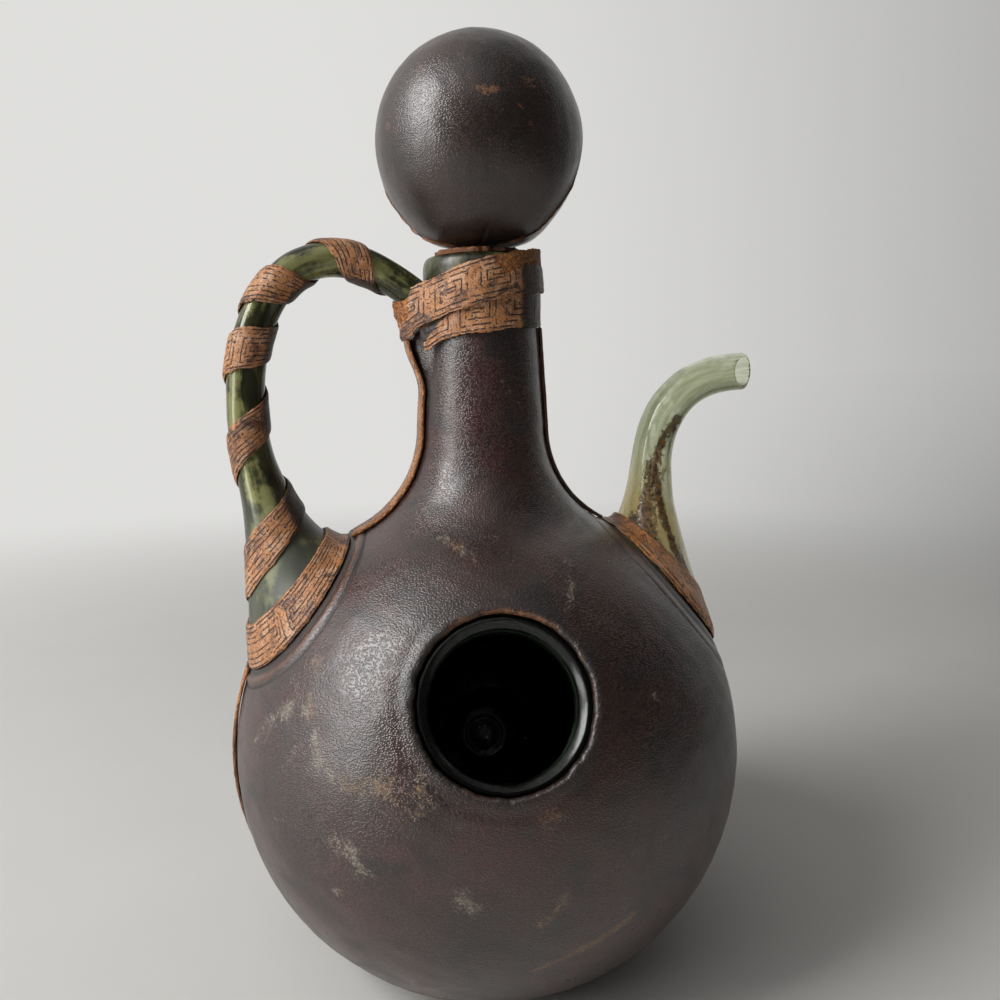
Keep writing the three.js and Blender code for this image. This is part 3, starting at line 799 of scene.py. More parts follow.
class Nodes:
    """A node tree under construction.

    Attributes:
        tree: The tree.
    """

    def __init__(self, tree: bpy.types.NodeTree) -> None:
        """Takes up a tree."""
        self.tree = tree

    def feed(self, socket: Socket, value: object) -> None:
        """Links another socket to an input, or sets a plain value on it.

        Args:
            socket: The input.
            value: A socket, a number, a colour or a vector.
        """
        if isinstance(value, Socket):
            self.tree.links.new(value, socket)
        elif socket.type == "RGBA":
            socket.default_value = (*value, 1.0)
        else:
            socket.default_value = value

    def add(self, kind: str, inputs: dict[int | str, object], **settings: object) -> bpy.types.Node:
        """A new node.

        Args:
            kind: Blender's name for the node.
            inputs: What is fed to its inputs, by their names or numbers.
            settings: Properties to set on it first.

        Returns:
            The node.
        """
        node = self.tree.nodes.new(kind)
        for key, value in settings.items():
            setattr(node, key, value)
        for key, value in inputs.items():
            self.feed(node.inputs[key], value)
        return node

    def math(self, operation: str, a: object, b: object = 0.0, clamp: bool = False) -> Socket:
        """One sum on two values, which clamp holds between 0 and 1."""
        return self.add("ShaderNodeMath", {0: a, 1: b}, operation=operation, use_clamp=clamp).outputs[0]

    def times(self, a: object, b: object, clamp: bool = False) -> Socket:
        """Product of two values."""
        return self.math("MULTIPLY", a, b, clamp)

    def rest(self, value: object) -> Socket:
        """What a value leaves of 1."""
        return self.math("SUBTRACT", 1.0, value)

    def about(self, value: object, gain: float) -> Socket:
        """A value that lies about 0.5, moved to lie about 0 and scaled."""
        return self.times(self.math("SUBTRACT", value, 0.5), gain)

    def total(self, operation: str, *values: object) -> Socket:
        """One sum over several values, from the first to the last."""
        return reduce(lambda a, b: self.math(operation, a, b), values)

    def mix(self, share: object, a: object, b: object) -> Socket:
        """A blend of two colours, by the share of the second."""
        return self.add("ShaderNodeMix", {"Factor": share, 6: a, 7: b}, data_type="RGBA").outputs[2]

    def coats(self, colour: object, *coats: tuple[object, object]) -> Socket:
        """A colour under coats of others, each given as its share and its colour."""
        return reduce(lambda under, coat: self.mix(coat[0], under, coat[1]), coats, colour)

    def rise(self, value: object, low: float, high: float, to: float = 1.0) -> Socket:
        """A smooth rise from 0 at low to a top value at high.

        Args:
            value: Value or socket to look at.
            low: Where the rise starts.
            high: Where it ends. Below low, the rise becomes a fall.
            to: The top value.

        Returns:
            The result's socket.
        """
        first, last = (0.0, to) if low < high else (to, 0.0)
        inputs = {0: value, 1: min(low, high), 2: max(low, high), 3: first, 4: last}
        return self.add("ShaderNodeMapRange", inputs, interpolation_type="SMOOTHSTEP").outputs["Result"]

    def end(self, output: str, share: Socket, a: Socket, b: Socket) -> None:
        """Ends the tree in a blend of two shaders, at the output node of a name."""
        blend = self.add("ShaderNodeMixShader", {0: share, 1: a, 2: b})
        self.feed(self.tree.nodes[output].inputs["Surface"], blend.outputs[0])


class Shader(Nodes):
    """A node material under construction.

    Attributes:
        material: The material.
        surface: Its main shader node.
        place: Socket of the place on the object.
    """

    def __init__(self, name: str) -> None:
        """Starts a material with one principled shader.

        Args:
            name: Name of the material.
        """
        self.material = bpy.data.materials.new(name)
        self.material.use_nodes = True
        super().__init__(self.material.node_tree)
        self.surface = self.tree.nodes["Principled BSDF"]
        self.place = self.add("ShaderNodeTexCoord", {}).outputs["Object"]

    def scaled(self, factors: Colour) -> Socket:
        """The place on the object, stretched by a factor along each axis."""
        return self.add("ShaderNodeVectorMath", {0: self.place, 1: factors}, operation="MULTIPLY").outputs[0]

    def noise(
        self, size: float, detail: float = 4.0, rough: float = 0.55, at: object = None, warp: float = 0.0
    ) -> Socket:
        """Cloudy noise about 0.5.

        Args:
            size: Size of one cloud in millimetres.
            detail: How many finer layers there are.
            rough: How strong the finer layers are.
            at: Vector socket to look at, or None for the place on the object.
            warp: Distortion.

        Returns:
            The value's socket.
        """
        inputs = {"Vector": self.place if at is None else at, "Scale": 1.0 / (size * MM)}
        inputs |= {"Detail": detail, "Roughness": rough, "Distortion": warp}
        return self.add("ShaderNodeTexNoise", inputs).outputs["Fac"]

    def cells(self, size: float, at: object = None) -> Socket:
        """Distances from the middles of cells of a size in millimetres, at a vector or on the object."""
        inputs = {"Vector": self.place if at is None else at, "Scale": 1.0 / (size * MM)}
        return self.add("ShaderNodeTexVoronoi", inputs).outputs["Distance"]

    def value(self, name: str) -> Socket:
        """A named number of the mesh."""
        return self.add("ShaderNodeAttribute", {}, attribute_name=name).outputs["Fac"]

    def vector(self, name: str) -> Socket:
        """A named vector of the mesh."""
        return self.add("ShaderNodeAttribute", {}, attribute_name=name).outputs["Vector"]

    def bump(self, height: object, depth: float, strength: float = 1.0, under: object = None) -> Socket:
        """A fine relief.

        Args:
            height: Height socket.
            depth: Depth in millimetres of a height of 1.
            strength: How strong the relief is.
            under: Normal socket of a relief below this one.

        Returns:
            The normal's socket.
        """
        inputs = {"Strength": strength, "Distance": depth * MM, "Height": height}
        if under is not None:
            inputs["Normal"] = under
        return self.add("ShaderNodeBump", inputs).outputs["Normal"]

    def set(self, **inputs: object) -> None:
        """Sets or links inputs of the main shader, each named with _ for a space."""
        for key, value in inputs.items():
            self.feed(self.surface.inputs[key.replace("_", " ")], value)


@dataclass(frozen=True)
class DarkLeather:
    """Near-black brown hide with a pebbled grain, rubbed pale or ochre in places, raw at its edges, and
    painted near-black as shade where the mesh's shade value asks for it.
    """

    name: str
    black: Colour = (0.010, 0.008, 0.008)
    brown: Colour = (0.047, 0.0205, 0.0160)
    red: Colour = (0.096, 0.031, 0.023)
    olive: Colour = (0.050, 0.039, 0.027)
    pale: Colour = (0.40, 0.33, 0.25)
    ochre: Colour = (0.36, 0.21, 0.10)
    raw: Colour = (0.36, 0.145, 0.050)
    grain: float = 0.75
    relief: float = 1.0
    polish: float = 0.26
    gloss: float = 0.95

    def rubbed(self, s: Shader, name: str, size: float) -> Socket:
        """A rubbed mask that breaks up into flecks of the grain, from a value of the mesh.

        Args:
            s: Material under construction.
            name: Name of the value.
            size: Size of its patches in millimetres.

        Returns:
            The mask's socket.
        """
        patches = s.about(s.noise(size, 4.0, 0.6, warp=0.6), 2.6)
        flecks = s.about(s.noise(1.0, 3.0, 0.7), 2.2)
        amount = s.value(name)
        reach = s.total("ADD", s.times(amount, 0.85), patches, flecks)
        return s.times(s.rise(reach, 0.45, 1.2, 0.8), s.rise(amount, 0.04, 0.35))

    def material(self) -> Material:
        """Builds the finish.

        Returns:
            The material.
        """
        s = Shader(self.name)
        patches = s.noise(17.0, 5.0, 0.6, warp=0.8)
        fine = s.noise(1.5, 3.0, 0.65)
        creases = s.rise(s.cells(self.grain, s.scaled((1.0, 1.0, 1.5))), 0.22, 0.62)
        pale, ochre = self.rubbed(s, "pale", 5.0), self.rubbed(s, "ochre", 6.0)
        wear = s.times(s.value("wear"), s.rise(s.noise(1.8, 5.0, 0.7), 0.34, 0.58), clamp=True)
        shade = s.value("shade")
        colour = s.coats(
            self.brown,
            (s.rise(s.noise(52.0, 4.0, 0.55, warp=0.5), 0.38, 0.62), self.red),
            (s.rise(patches, 0.46, 0.70, 0.8), self.black),
            (s.rise(s.noise(27.0, 4.0, 0.6), 0.54, 0.72, 0.7), self.olive),
            (ochre, self.ochre),
            (pale, self.pale),
            # The grain is painted as well as raised: the fine relief's high flecks get a pale painted
            # highlight and the creases get dark painted shade.
            (s.rise(fine, 0.60, 0.74, 0.16), self.pale),
            (s.times(creases, 0.62), self.black),
            (wear, self.raw),
            # Painted shade: the mesh's shade value paints the hide near-black in grooves, cuts, seams and
            # under edges.
            (shade, self.black),
            (s.times(s.rise(s.value("skin"), 0.97, 0.7), s.value("edge"), clamp=True), self.raw),
        )
        relief = s.bump(s.rest(creases), 0.09 * self.relief, 0.75)
        relief = s.bump(fine, 0.11 * self.relief, 0.4, relief)
        relief = s.bump(s.noise(5.5, 3.0, 0.6), 0.4 * self.relief, 0.25, relief)
        dry = s.times(s.total("MAXIMUM", pale, ochre, wear, shade), 0.25)
        rough = s.math("ADD", s.rise(patches, 0.25, 0.8, 0.12), self.polish)
        rough = s.math("ADD", rough, dry, clamp=True)
        s.set(Base_Color=colour, Roughness=rough, Normal=relief, Specular_IOR_Level=self.gloss)
        return s.material


@dataclass(frozen=True)
class TooledLeather:
    """Tan strip leather, tooled with a running key between two lines, pitted, torn in places, and darkened in
    random patches and where the mesh asks for painted shade.
    """

    name: str
    tooling: Tooling
    pitch: float = 2.0
    line: float = 0.17
    height: float = PATTERN_HEIGHT
    tan: Colour = (0.56, 0.245, 0.095)
    pale: Colour = (0.76, 0.47, 0.30)
    orange: Colour = (0.66, 0.26, 0.062)
    brown: Colour = (0.185, 0.070, 0.029)
    plum: Colour = (0.092, 0.046, 0.038)
    # Near-black of the tooled lines and pits, and also the colour of painted shade.
    soot_and_shade: Colour = (0.016, 0.011, 0.010)

    def key(self) -> list[tuple[float, float, float, float]]:
        """The figure of one repeat: a rectangular spiral that leaves and rejoins the lower line.

        Returns:
            The middle and half size of each stroke, across and up.
        """
        left, right = self.pitch, self.tooling.value - self.pitch * 1.2
        high = self.height / 2.0 - self.pitch * 1.25
        low = -high
        corners = [(0.0, low)]
        while right - left > self.pitch and high - low > self.pitch * 0.5:
            corners += [(right, low), (right, high), (left, high)]
            low += self.pitch
            corners.append((left, low))
            left += self.pitch
            right -= self.pitch
            high -= self.pitch
        strokes = []
        for (x0, y0), (x1, y1) in zip(corners, corners[1:]):
            strokes.append(((x0 + x1) / 2.0, (y0 + y1) / 2.0, abs(x1 - x0) / 2.0, abs(y1 - y0) / 2.0))
        return strokes

    def groove(self, s: Shader) -> Socket:
        """Depth of the tooled lines, from 0 to 1. Every second figure is turned over.

        Args:
            s: Material under construction.

        Returns:
            The value's socket.
        """
        repeats = s.math("DIVIDE", s.value("key_along"), self.tooling.value)
        along = s.times(s.math("FRACT", repeats), self.tooling.value)
        flip = s.times(s.math("FLOORED_MODULO", s.math("FLOOR", repeats), 2.0), 2.0)
        across = s.math("ADD", s.value("key_across"), s.about(s.noise(6.0, 2.0), 0.9))

        def off(value: object, middle: float, half: float) -> Socket:
            """How far a value lies outside a span."""
            return s.math("SUBTRACT", s.math("ABSOLUTE", s.math("SUBTRACT", value, middle)), half)

        near = s.math("ABSOLUTE", off(across, 0.0, self.height / 2.0 - self.pitch * 0.42))
        across = s.times(across, s.rest(flip))
        for x, y, half_x, half_y in self.key():
            near = s.math("MINIMUM", near, s.math("MAXIMUM", off(along, x, half_x), off(across, y, half_y)))
        return s.rise(near, self.line * 1.9, self.line * 0.7)

    def material(self) -> Material:
        """Builds the finish.

        Returns:
            The material.
        """
        s = Shader(self.name)
        patchy = s.noise(4.5, 5.0, 0.66)
        fibres = s.noise(0.9, 4.0, 0.75)
        torn = s.rise(s.value("torn"), 0.35, 0.65)
        kept = s.times(s.rise(patchy, 0.30, 0.48), s.rest(torn))
        kept = s.times(kept, s.rise(s.noise(2.8, 3.0, 0.6), 0.38, 0.50))
        groove = s.times(self.groove(s), kept)
        pits = s.times(s.rise(s.cells(0.8), 0.44, 0.20), s.rise(s.noise(1.9, 3.0, 0.6), 0.36, 0.56, 0.9))
        # The mesh's darkening value carries painted shade in places; random patches are added to it.
        patchy_dirt_and_shade = s.math("ADD", s.value("shade_and_dirt"), s.about(patchy, 1.2))
        colour = s.coats(
            self.tan,
            (s.rise(s.noise(13.0, 4.0, 0.6, warp=0.8), 0.46, 0.70, 0.85), self.brown),
            (s.rise(patchy, 0.46, 0.68, 0.8), self.pale),
            (s.rise(s.noise(7.0, 4.0, 0.6), 0.54, 0.70, 0.8), self.orange),
            (s.rise(s.noise(9.5, 6.0, 0.72, warp=1.2), 0.52, 0.61, 0.85), self.plum),
            (s.rise(fibres, 0.50, 0.68, 0.6), self.brown),
            (s.rise(s.noise(1.4, 4.0, 0.7), 0.60, 0.70, 0.7), self.pale),
            (pits, self.soot_and_shade),
            (torn, s.mix(s.rise(fibres, 0.36, 0.58), self.orange, self.brown)),
            # Near-black coat of the darkening: painted shade where the mesh asks for it, random dark patches
            # elsewhere.
            (s.times(s.rise(patchy_dirt_and_shade, 0.32, 0.78, 0.93), s.rest(s.times(torn, 0.6))), self.soot_and_shade),
            (s.times(groove, 0.93), self.soot_and_shade),
            (s.rise(s.value("skin"), 0.97, 0.6, 0.75), self.brown),
        )
        relief = s.bump(s.rest(groove), 0.30)
        relief = s.bump(s.rest(pits), 0.20, 0.7, relief)
        relief = s.bump(fibres, 0.30, 0.6, relief)
        rough = s.math("ADD", s.rise(patchy, 0.3, 0.7, 0.2), s.times(torn, 0.3))
        s.set(Base_Color=colour, Roughness=s.math("ADD", rough, 0.34, clamp=True), Normal=relief)
        return s.material


@dataclass(frozen=True)
class BlownGlass:
    """Tinted blown glass, with drawn streaks, haze, an amber film, a painted glow along one side and, where
    wine has dried, a crust.
    """

    name: str
    clear: Colour
    cloudy: Colour
    bright: Colour
    haze: float
    matt: float = 0.03
    clear_bore: bool = True
    amber: Colour = (0.66, 0.47, 0.16)
    bloom: Colour = (0.088, 0.098, 0.080)
    crust: Colour = (0.060, 0.024, 0.008)
    dregs: Colour = (0.32, 0.16, 0.040)

    def material(self) -> Material:
        """Builds the finish.

        Returns:
            The material.
        """
        s = Shader(self.name)
        drawn, dust, skin, dried = s.vector("drawn"), s.value("dust"), s.value("skin"), s.value("stain")
        streaks = s.noise(2.4, 2.0, 0.6, drawn, warp=0.5)
        clouds = s.noise(9.0, 4.0, 0.6, drawn)
        blotches = s.about(s.noise(8.0, 3.0, 0.6), 0.7)
        # The bright coat is partly random tone and partly the painted glow along one side of the tube.
        stretched = s.total("ADD", clouds, blotches, s.times(s.value("painted_glow"), 0.24))
        colour = s.coats(
            self.clear,
            (s.rise(streaks, 0.40, 0.64), self.cloudy),
            (s.rise(stretched, 0.54, 0.72, 0.9), self.bright),
            (s.times(s.value("film"), s.rise(streaks, 0.66, 0.36)), self.amber),
            (s.times(dust, self.haze * 0.6), self.bloom),
        )
        if self.clear_bore:
            colour = s.mix(s.rise(skin, 0.6, 0.4), colour, (1.0, 1.0, 1.0))
        runs = s.about(s.noise(2.4, 5.0, 0.7, drawn, warp=0.6), 2.6)
        flecks = s.about(s.noise(1.3, 4.0, 0.7), 2.6)
        reach = s.total("ADD", dried, runs, flecks)
        stain = s.times(s.rise(reach, 0.45, 1.05), s.rise(dried, 0.03, 0.30))
        thick = s.rise(s.noise(2.0, 5.0, 0.7), 0.40, 0.60)
        colour = s.mix(stain, colour, s.mix(thick, self.dregs, self.crust))
        milky = s.times(s.math("ADD", s.rise(clouds, 0.38, 0.70), 1.0), self.haze / 2.0)
        milky = s.times(milky, s.rise(skin, 0.4, 0.6))
        dusty = s.times(dust, s.rise(clouds, 0.2, 0.7, 2.0 * self.haze))
        blocked = s.total("MAXIMUM", s.times(stain, 0.85), milky, dusty)
        ripples = s.bump(s.noise(19.0, 2.0), 0.9, 0.3, s.bump(streaks, 0.10, 0.25))
        dull = s.total("ADD", s.rise(clouds, 0.45, 0.8, 0.07), s.times(dust, 0.36), self.matt)
        s.set(Roughness=s.math("ADD", s.times(stain, 0.4), dull, clamp=True))
        s.set(Base_Color=colour, Transmission_Weight=s.math("SUBTRACT", 1.0, blocked, clamp=True))
        s.set(Normal=ripples, IOR=1.5)
        return s.material


@dataclass(frozen=True)
class NaturalCork:
    """Cork with dark pores and a soft, mottled colour."""

    name: str
    light: Colour = (0.50, 0.32, 0.165)
    dark: Colour = (0.24, 0.13, 0.06)
    pore: Colour = (0.05, 0.026, 0.014)

    def material(self) -> Material:
        """Builds the finish.

        Returns:
            The material.
        """
        s = Shader(self.name)
        mottle = s.noise(3.5, 5.0, 0.65)
        pores = s.rise(s.noise(1.9, 4.0, 0.6, s.scaled((1.0, 1.0, 2.6))), 0.60, 0.68)
        colour = s.coats(self.light, (s.rise(mottle, 0.35, 0.7), self.dark), (pores, self.pore))
        relief = s.bump(mottle, 0.3, 0.4, s.bump(s.rest(pores), 0.5, 0.8))
        s.set(Base_Color=colour, Roughness=s.rise(mottle, 0.0, 0.4, 0.9), Normal=relief)
        return s.material


@dataclass(frozen=True)
class TurnedWood:
    """Plain turned wood with growth rings."""

    name: str
    light: Colour = (0.46, 0.29, 0.14)
    dark: Colour = (0.24, 0.13, 0.055)

    def material(self) -> Material:
        """Builds the finish.

        Returns:
            The material.
        """
        s = Shader(self.name)
        rings = s.noise(3.0, 3.0, 0.5, s.scaled((1.0, 1.0, 0.12)), warp=1.2)
        colour = s.mix(s.rise(rings, 0.35, 0.65), self.light, self.dark)
        s.set(Base_Color=colour, Roughness=s.math("ADD", s.rise(rings, 0.3, 0.7, 0.15), 0.5))
        s.set(Normal=s.bump(rings, 0.15, 0.4))
        return s.material


# Sub-assemblies


@dataclass(frozen=True)
class Dregs:
    """A streak of dried wine: its ends, as distance along and degrees round the tube, and half its width."""

    start: tuple[float, float]
    end: tuple[float, float]
    spread: float

    def mask(self, distance: Array, turn: Array) -> Array:
        """Where the streak lies.

        Args:
            distance: Distance along the tube.
            turn: Radians round it.

        Returns:
            A value of 1 in the middle of the streak, fading to 0.
        """
        share = (distance - self.start[0]) / (self.end[0] - self.start[0])
        middle = np.radians(self.start[1] + (self.end[1] - self.start[1]) * smooth(share, 0.0, 1.0))
        apart = np.angle(np.exp(1j * (turn - middle)))
        within = smooth(share, -0.12, 0.05) * smooth(share, 1.12, 0.9)
        return bell(apart, 0.0, math.radians(self.spread)) * within


@dataclass
class Glassware:
    """The blown bottle with its ice pocket, handle and spout."""

    bottle: BottleForm = BOTTLE
    pocket: PocketForm = POCKET
    handle: HandleTube = HANDLE
    spout: SpoutTube = SPOUT
    foot_hole: float = 18.0
    ring_radius: float = 6.0
    ring_rise: float = 1.0
    ring_width: float = 1.4
    rows: int = 150
    columns: int = 160
    film_span: tuple[float, float] = (56.0, 14.0)
    dust_span: tuple[float, float] = (50.0, 20.0)
    dregs: tuple[Dregs, ...] = (
        Dregs((63.0, 66.0), (38.0, 104.0), 22.0),
        Dregs((43.0, 104.0), (8.0, 136.0), 34.0),
        Dregs((41.0, 100.0), (2.0, 78.0), 15.0),
    )
    dark: BlownGlass = BlownGlass(
        "dark green glass", (0.17, 0.18, 0.075), (0.033, 0.035, 0.015), (0.62, 0.64, 0.28), 0.16
    )
    drawn: BlownGlass = BlownGlass(
        "drawn green glass", (0.075, 0.078, 0.034), (0.026, 0.027, 0.012), (0.43, 0.43, 0.165), 0.92
    )
    deep: BlownGlass = BlownGlass(
        "deep green glass",
        (0.15, 0.21, 0.15),
        (0.10, 0.14, 0.09),
        (0.20, 0.28, 0.18),
        haze=0.0,
        matt=0.05,
        clear_bore=False,
    )
    pale: BlownGlass = BlownGlass(
        "pale green glass", (0.52, 0.56, 0.37), (0.34, 0.37, 0.22), (0.84, 0.89, 0.72), 0.16
    )

    def build(self) -> None:
        """Builds and dresses the four pieces of glass."""
        dark, deep = self.dark.material(), self.deep.material()
        slot, body = Slot.BOTTLE_GLASS, Body.DECANTER
        fit(self.vessel(), body, slot, dark, "glass_vessel")
        fit(self.ice_pocket(), body, slot, deep, "ice_pocket")
        handle, spout = self.tube("handle_glass", self.handle, 150), self.tube("spout_glass", self.spout, 130)
        fit(handle, body, slot, self.drawn.material(), "glass_handle")
        fit(spout, body, Slot.SPOUT_GLASS, self.pale.material(), "glass_spout")

    def vessel(self) -> Piece:
        """The bottle, with its bore, its rolled lip and holes for the pocket and the feet.

        Returns:
            The piece.
        """
        form = self.bottle
        body = form.profile(self.rows, form.floor, form.lip_start)
        floor = np.stack([np.linspace(0.4, form.base_radius, 14), *np.full((3, 14), form.floor)], axis=1)[:-1]
        floor[:, 2:] = (0.0, -1.0)
        round_lip = np.linspace(-math.pi / 2.0, math.pi / 2.0, 24)[1:]
        half = form.lip_height / 2.0
        bulge, rise = np.abs(np.cos(round_lip)) ** 0.7, np.sin(round_lip)
        lip = np.stack(
            [
                form.neck_top_radius + form.lip_flare * bulge,
                form.rim_height - half + half * np.sign(rise) * np.abs(rise) ** 0.7,
                np.cos(round_lip),
                np.sin(round_lip),
            ],
            axis=1,
        )
        outline = np.concatenate([floor, body, lip])
        bore = outline[:, :2] - outline[:, 2:] * form.glass_wall
        bore[-len(lip):, 0] = form.neck_top_radius - form.glass_wall
        bore[-len(lip):, 1] = lip[:, 1]
        bore[: len(floor), 0] = floor[:, 0]
        angles = np.linspace(-180.0, 180.0, self.columns, endpoint=False)
        points, normals = form.turned_grid(outline, angles, 0.0)
        inner, _ = form.turned_grid(np.concatenate([bore, outline[:, 2:]], axis=1), angles, 0.0)
        sheet = Sheet.grid(points, normals, wraps=True)
        sheet.values = {"inside": inner.reshape(-1, 3)}
        holes = [(self.pocket.axis, self.pocket.mouth_radius + FIT_GAP)]
        holes += [(tube.foot_normal, self.foot_hole) for tube in (self.handle, self.spout)]
        apart = [off_axis(sheet.points, form.belly_centre, axis) - radius for axis, radius in holes]
        sheet = sheet.clipped(np.min(apart, axis=0))
        inside = sheet.values.pop("inside")
        sheet.values = {"drawn": sheet.points * (MM, MM, 0.4 * MM), "dust": np.full(len(sheet.points), 0.8)}
        return sheet.solid("bottle_glass", sheet.points, inside)

    def ice_pocket(self) -> Piece:
        """The pocket: a rolled lip, a throat and a swelling finger with a round end.

        Returns:
            The piece.
        """
        form = self.pocket
        hole = form.mouth_radius + FIT_GAP
        top = math.sqrt(self.bottle.belly_radius**2 - hole**2)
        half = (form.mouth_radius - form.opening_radius) / 2.0
        middle = form.opening_radius + half
        throat = top - form.lip_length
        bulb = top - form.depth + form.bulb_radius
        swell = np.linspace(0.0, 1.0, 20)
        body = form.throat_radius + (form.bulb_radius - form.throat_radius) * smooth(swell, 0.0, 1.0)
        turn = np.radians(np.linspace(0.0, 89.6, 56))[1:]

        def wall(side: int, inset: float) -> Points:
            """One face of the wall, from the lip's crest to the round end.

            Args:
                side: 1 for the outside, -1 for the inside.
                inset: Distance from the outside.

            Returns:
                Rows of a radius and a distance along the pocket's axis.
            """
            lip = np.radians(np.linspace(86.0, 0.0, 14))
            deep, flat = (half, 1.0) if side == 1 else (half * 0.85, 1.75)
            round_end = form.bulb_radius - inset
            ring = bell(round_end * np.cos(turn), self.ring_radius, self.ring_width)
            ring = self.ring_rise * ring * (side == -1)
            parts = [
                (middle + side * half * np.cos(lip) ** flat, top - deep + deep * np.sin(lip) ** flat),
                ([middle + side * half], [throat]),
                (body - inset, throat - form.swell_length * swell),
                (round_end * np.cos(turn), bulb - round_end * np.sin(turn) + ring),
            ]
            return np.concatenate([np.stack(part, axis=1) for part in parts])

        across = unit(np.cross(UP, form.axis))
        over = np.cross(form.axis, across)
        angles = np.linspace(0.0, 2.0 * math.pi, 96, endpoint=False)
        spokes = np.cos(angles)[:, None] * across + np.sin(angles)[:, None] * over

        def placed(line: Points) -> Points:
            """An outline turned about the pocket's axis."""
            return self.bottle.belly_centre + line[:, None, :1] * spokes + line[:, None, 1:] * form.axis

        outside, inside = placed(wall(1, 0.0)), placed(wall(-1, form.wall))
        sheet = Sheet.grid(outside, outside - inside, wraps=True)
        deep = top - (sheet.points - self.bottle.belly_centre) @ form.axis
        sheet.values = {"drawn": sheet.points * MM, "dust": 0.4 * smooth(deep, form.lip_length + 2.0, 3.0)}
        return sheet.solid("pocket_glass", sheet.points, inside.reshape(-1, 3))

    def tube(self, name: str, tube: FlaredTube, stations: int) -> Piece:
        """A hollow tube that stands on the belly.

        Args:
            name: Name of the piece.
            tube: Its form.
            stations: Steps along it.

        Returns:
            The piece.
        """
        along = np.linspace(-tube.foot_sink, tube.length, stations)
        turn = np.linspace(0.0, 2.0 * math.pi, 64, endpoint=False)
        distance, round_tube = np.meshgrid(along, turn, indexing="ij")
        points = tube.surface(distance, round_tube, 0.0)
        sheet = Sheet.grid(points, unit(tube.surface(distance, round_tube, 1.0) - points), wraps=True)
        drawn = [tube.radius * np.cos(round_tube), tube.radius * np.sin(round_tube), 0.13 * distance]
        stain, film, dust = 0.0 * distance, 0.0 * distance, smooth(distance, *self.dust_span)
        # Painted glow: a bright band along one side of each tube, at a set turn, stands in for light passing
        # through the glass.
        glow_turn = 45.0 + 35.0 * smooth(distance, 80.0, 125.0)
        if tube.side is Side.SPOUT:
            glow_turn = 140.0
            stain = np.max([streak.mask(distance, round_tube) for streak in self.dregs], axis=0)
            stain = np.maximum(stain, 0.4 * bell(distance, tube.length, 0.6))
            film = smooth(distance, *self.film_span)
            dust = 0.2 * dust
        off_glow = np.angle(np.exp(1j * (round_tube - np.radians(glow_turn))))
        painted_glow = bell(off_glow, 0.0, 0.6) * smooth(distance, 40.0, 66.0) * smooth(distance, 170.0, 145.0)
        values = {"stain": stain, "film": film, "painted_glow": painted_glow, "dust": dust}
        sheet.values = {key: data.reshape(-1) for key, data in values.items()}
        sheet.values["drawn"] = np.stack(drawn, axis=-1).reshape(-1, 3) * MM
        off_belly = self.bottle.off_belly(sheet.points)
        height = sheet.points[:, 2]
        neck = np.minimum(self.bottle.neck_radius_at(height), self.bottle.neck_radius)
        off_neck = np.hypot(sheet.points[:, 0], sheet.points[:, 1]) - neck
        clear = np.where(height < self.bottle.neck_start, off_belly, np.minimum(off_belly, off_neck))
        sheet = sheet.clipped(clear - FIT_GAP)
        uneven = 0.12 * ripple(sheet.points, 16.0, 5)
        return sheet.solid(name, sheet.raised(uneven), sheet.raised(uneven - tube.wall))


@dataclass(frozen=True)
class Rub:
    """A rubbed streak on the hide.

    Attributes:
        start: One end, as degrees from the front toward the spout and height in millimetres.
        end: The other end.
        spread: Half its width in millimetres.
        pale: How much it is rubbed to pale grain.
        ochre: How much it is rubbed to ochre.
    """

    start: tuple[float, float]
    end: tuple[float, float]
    spread: float
    pale: float = 0.0
    ochre: float = 0.0


def rubbed(
    rubs: Sequence[Rub], points: Points, placed: Callable[[float, float], Points]
) -> dict[str, Array]:
    """How far leather is rubbed.

    Args:
        rubs: The rubbed streaks.
        points: Places on the leather.
        placed: Gives the place for degrees from the front and a height.

    Returns:
        The values pale and ochre at each place.
    """
    values = {"pale": np.zeros(len(points)), "ochre": np.zeros(len(points))}
    for rub in rubs:
        start, end = placed(*rub.start), placed(*rub.end)
        run = end - start
        share = np.clip((points - start) @ run / (run @ run), 0.0, 1.0)
        mask = bell(lengths(points - start - share[:, None] * run), 0.0, rub.spread * RUB_FADE)
        for name in values:
            values[name] = np.maximum(values[name], getattr(rub, name) * mask)
    return values


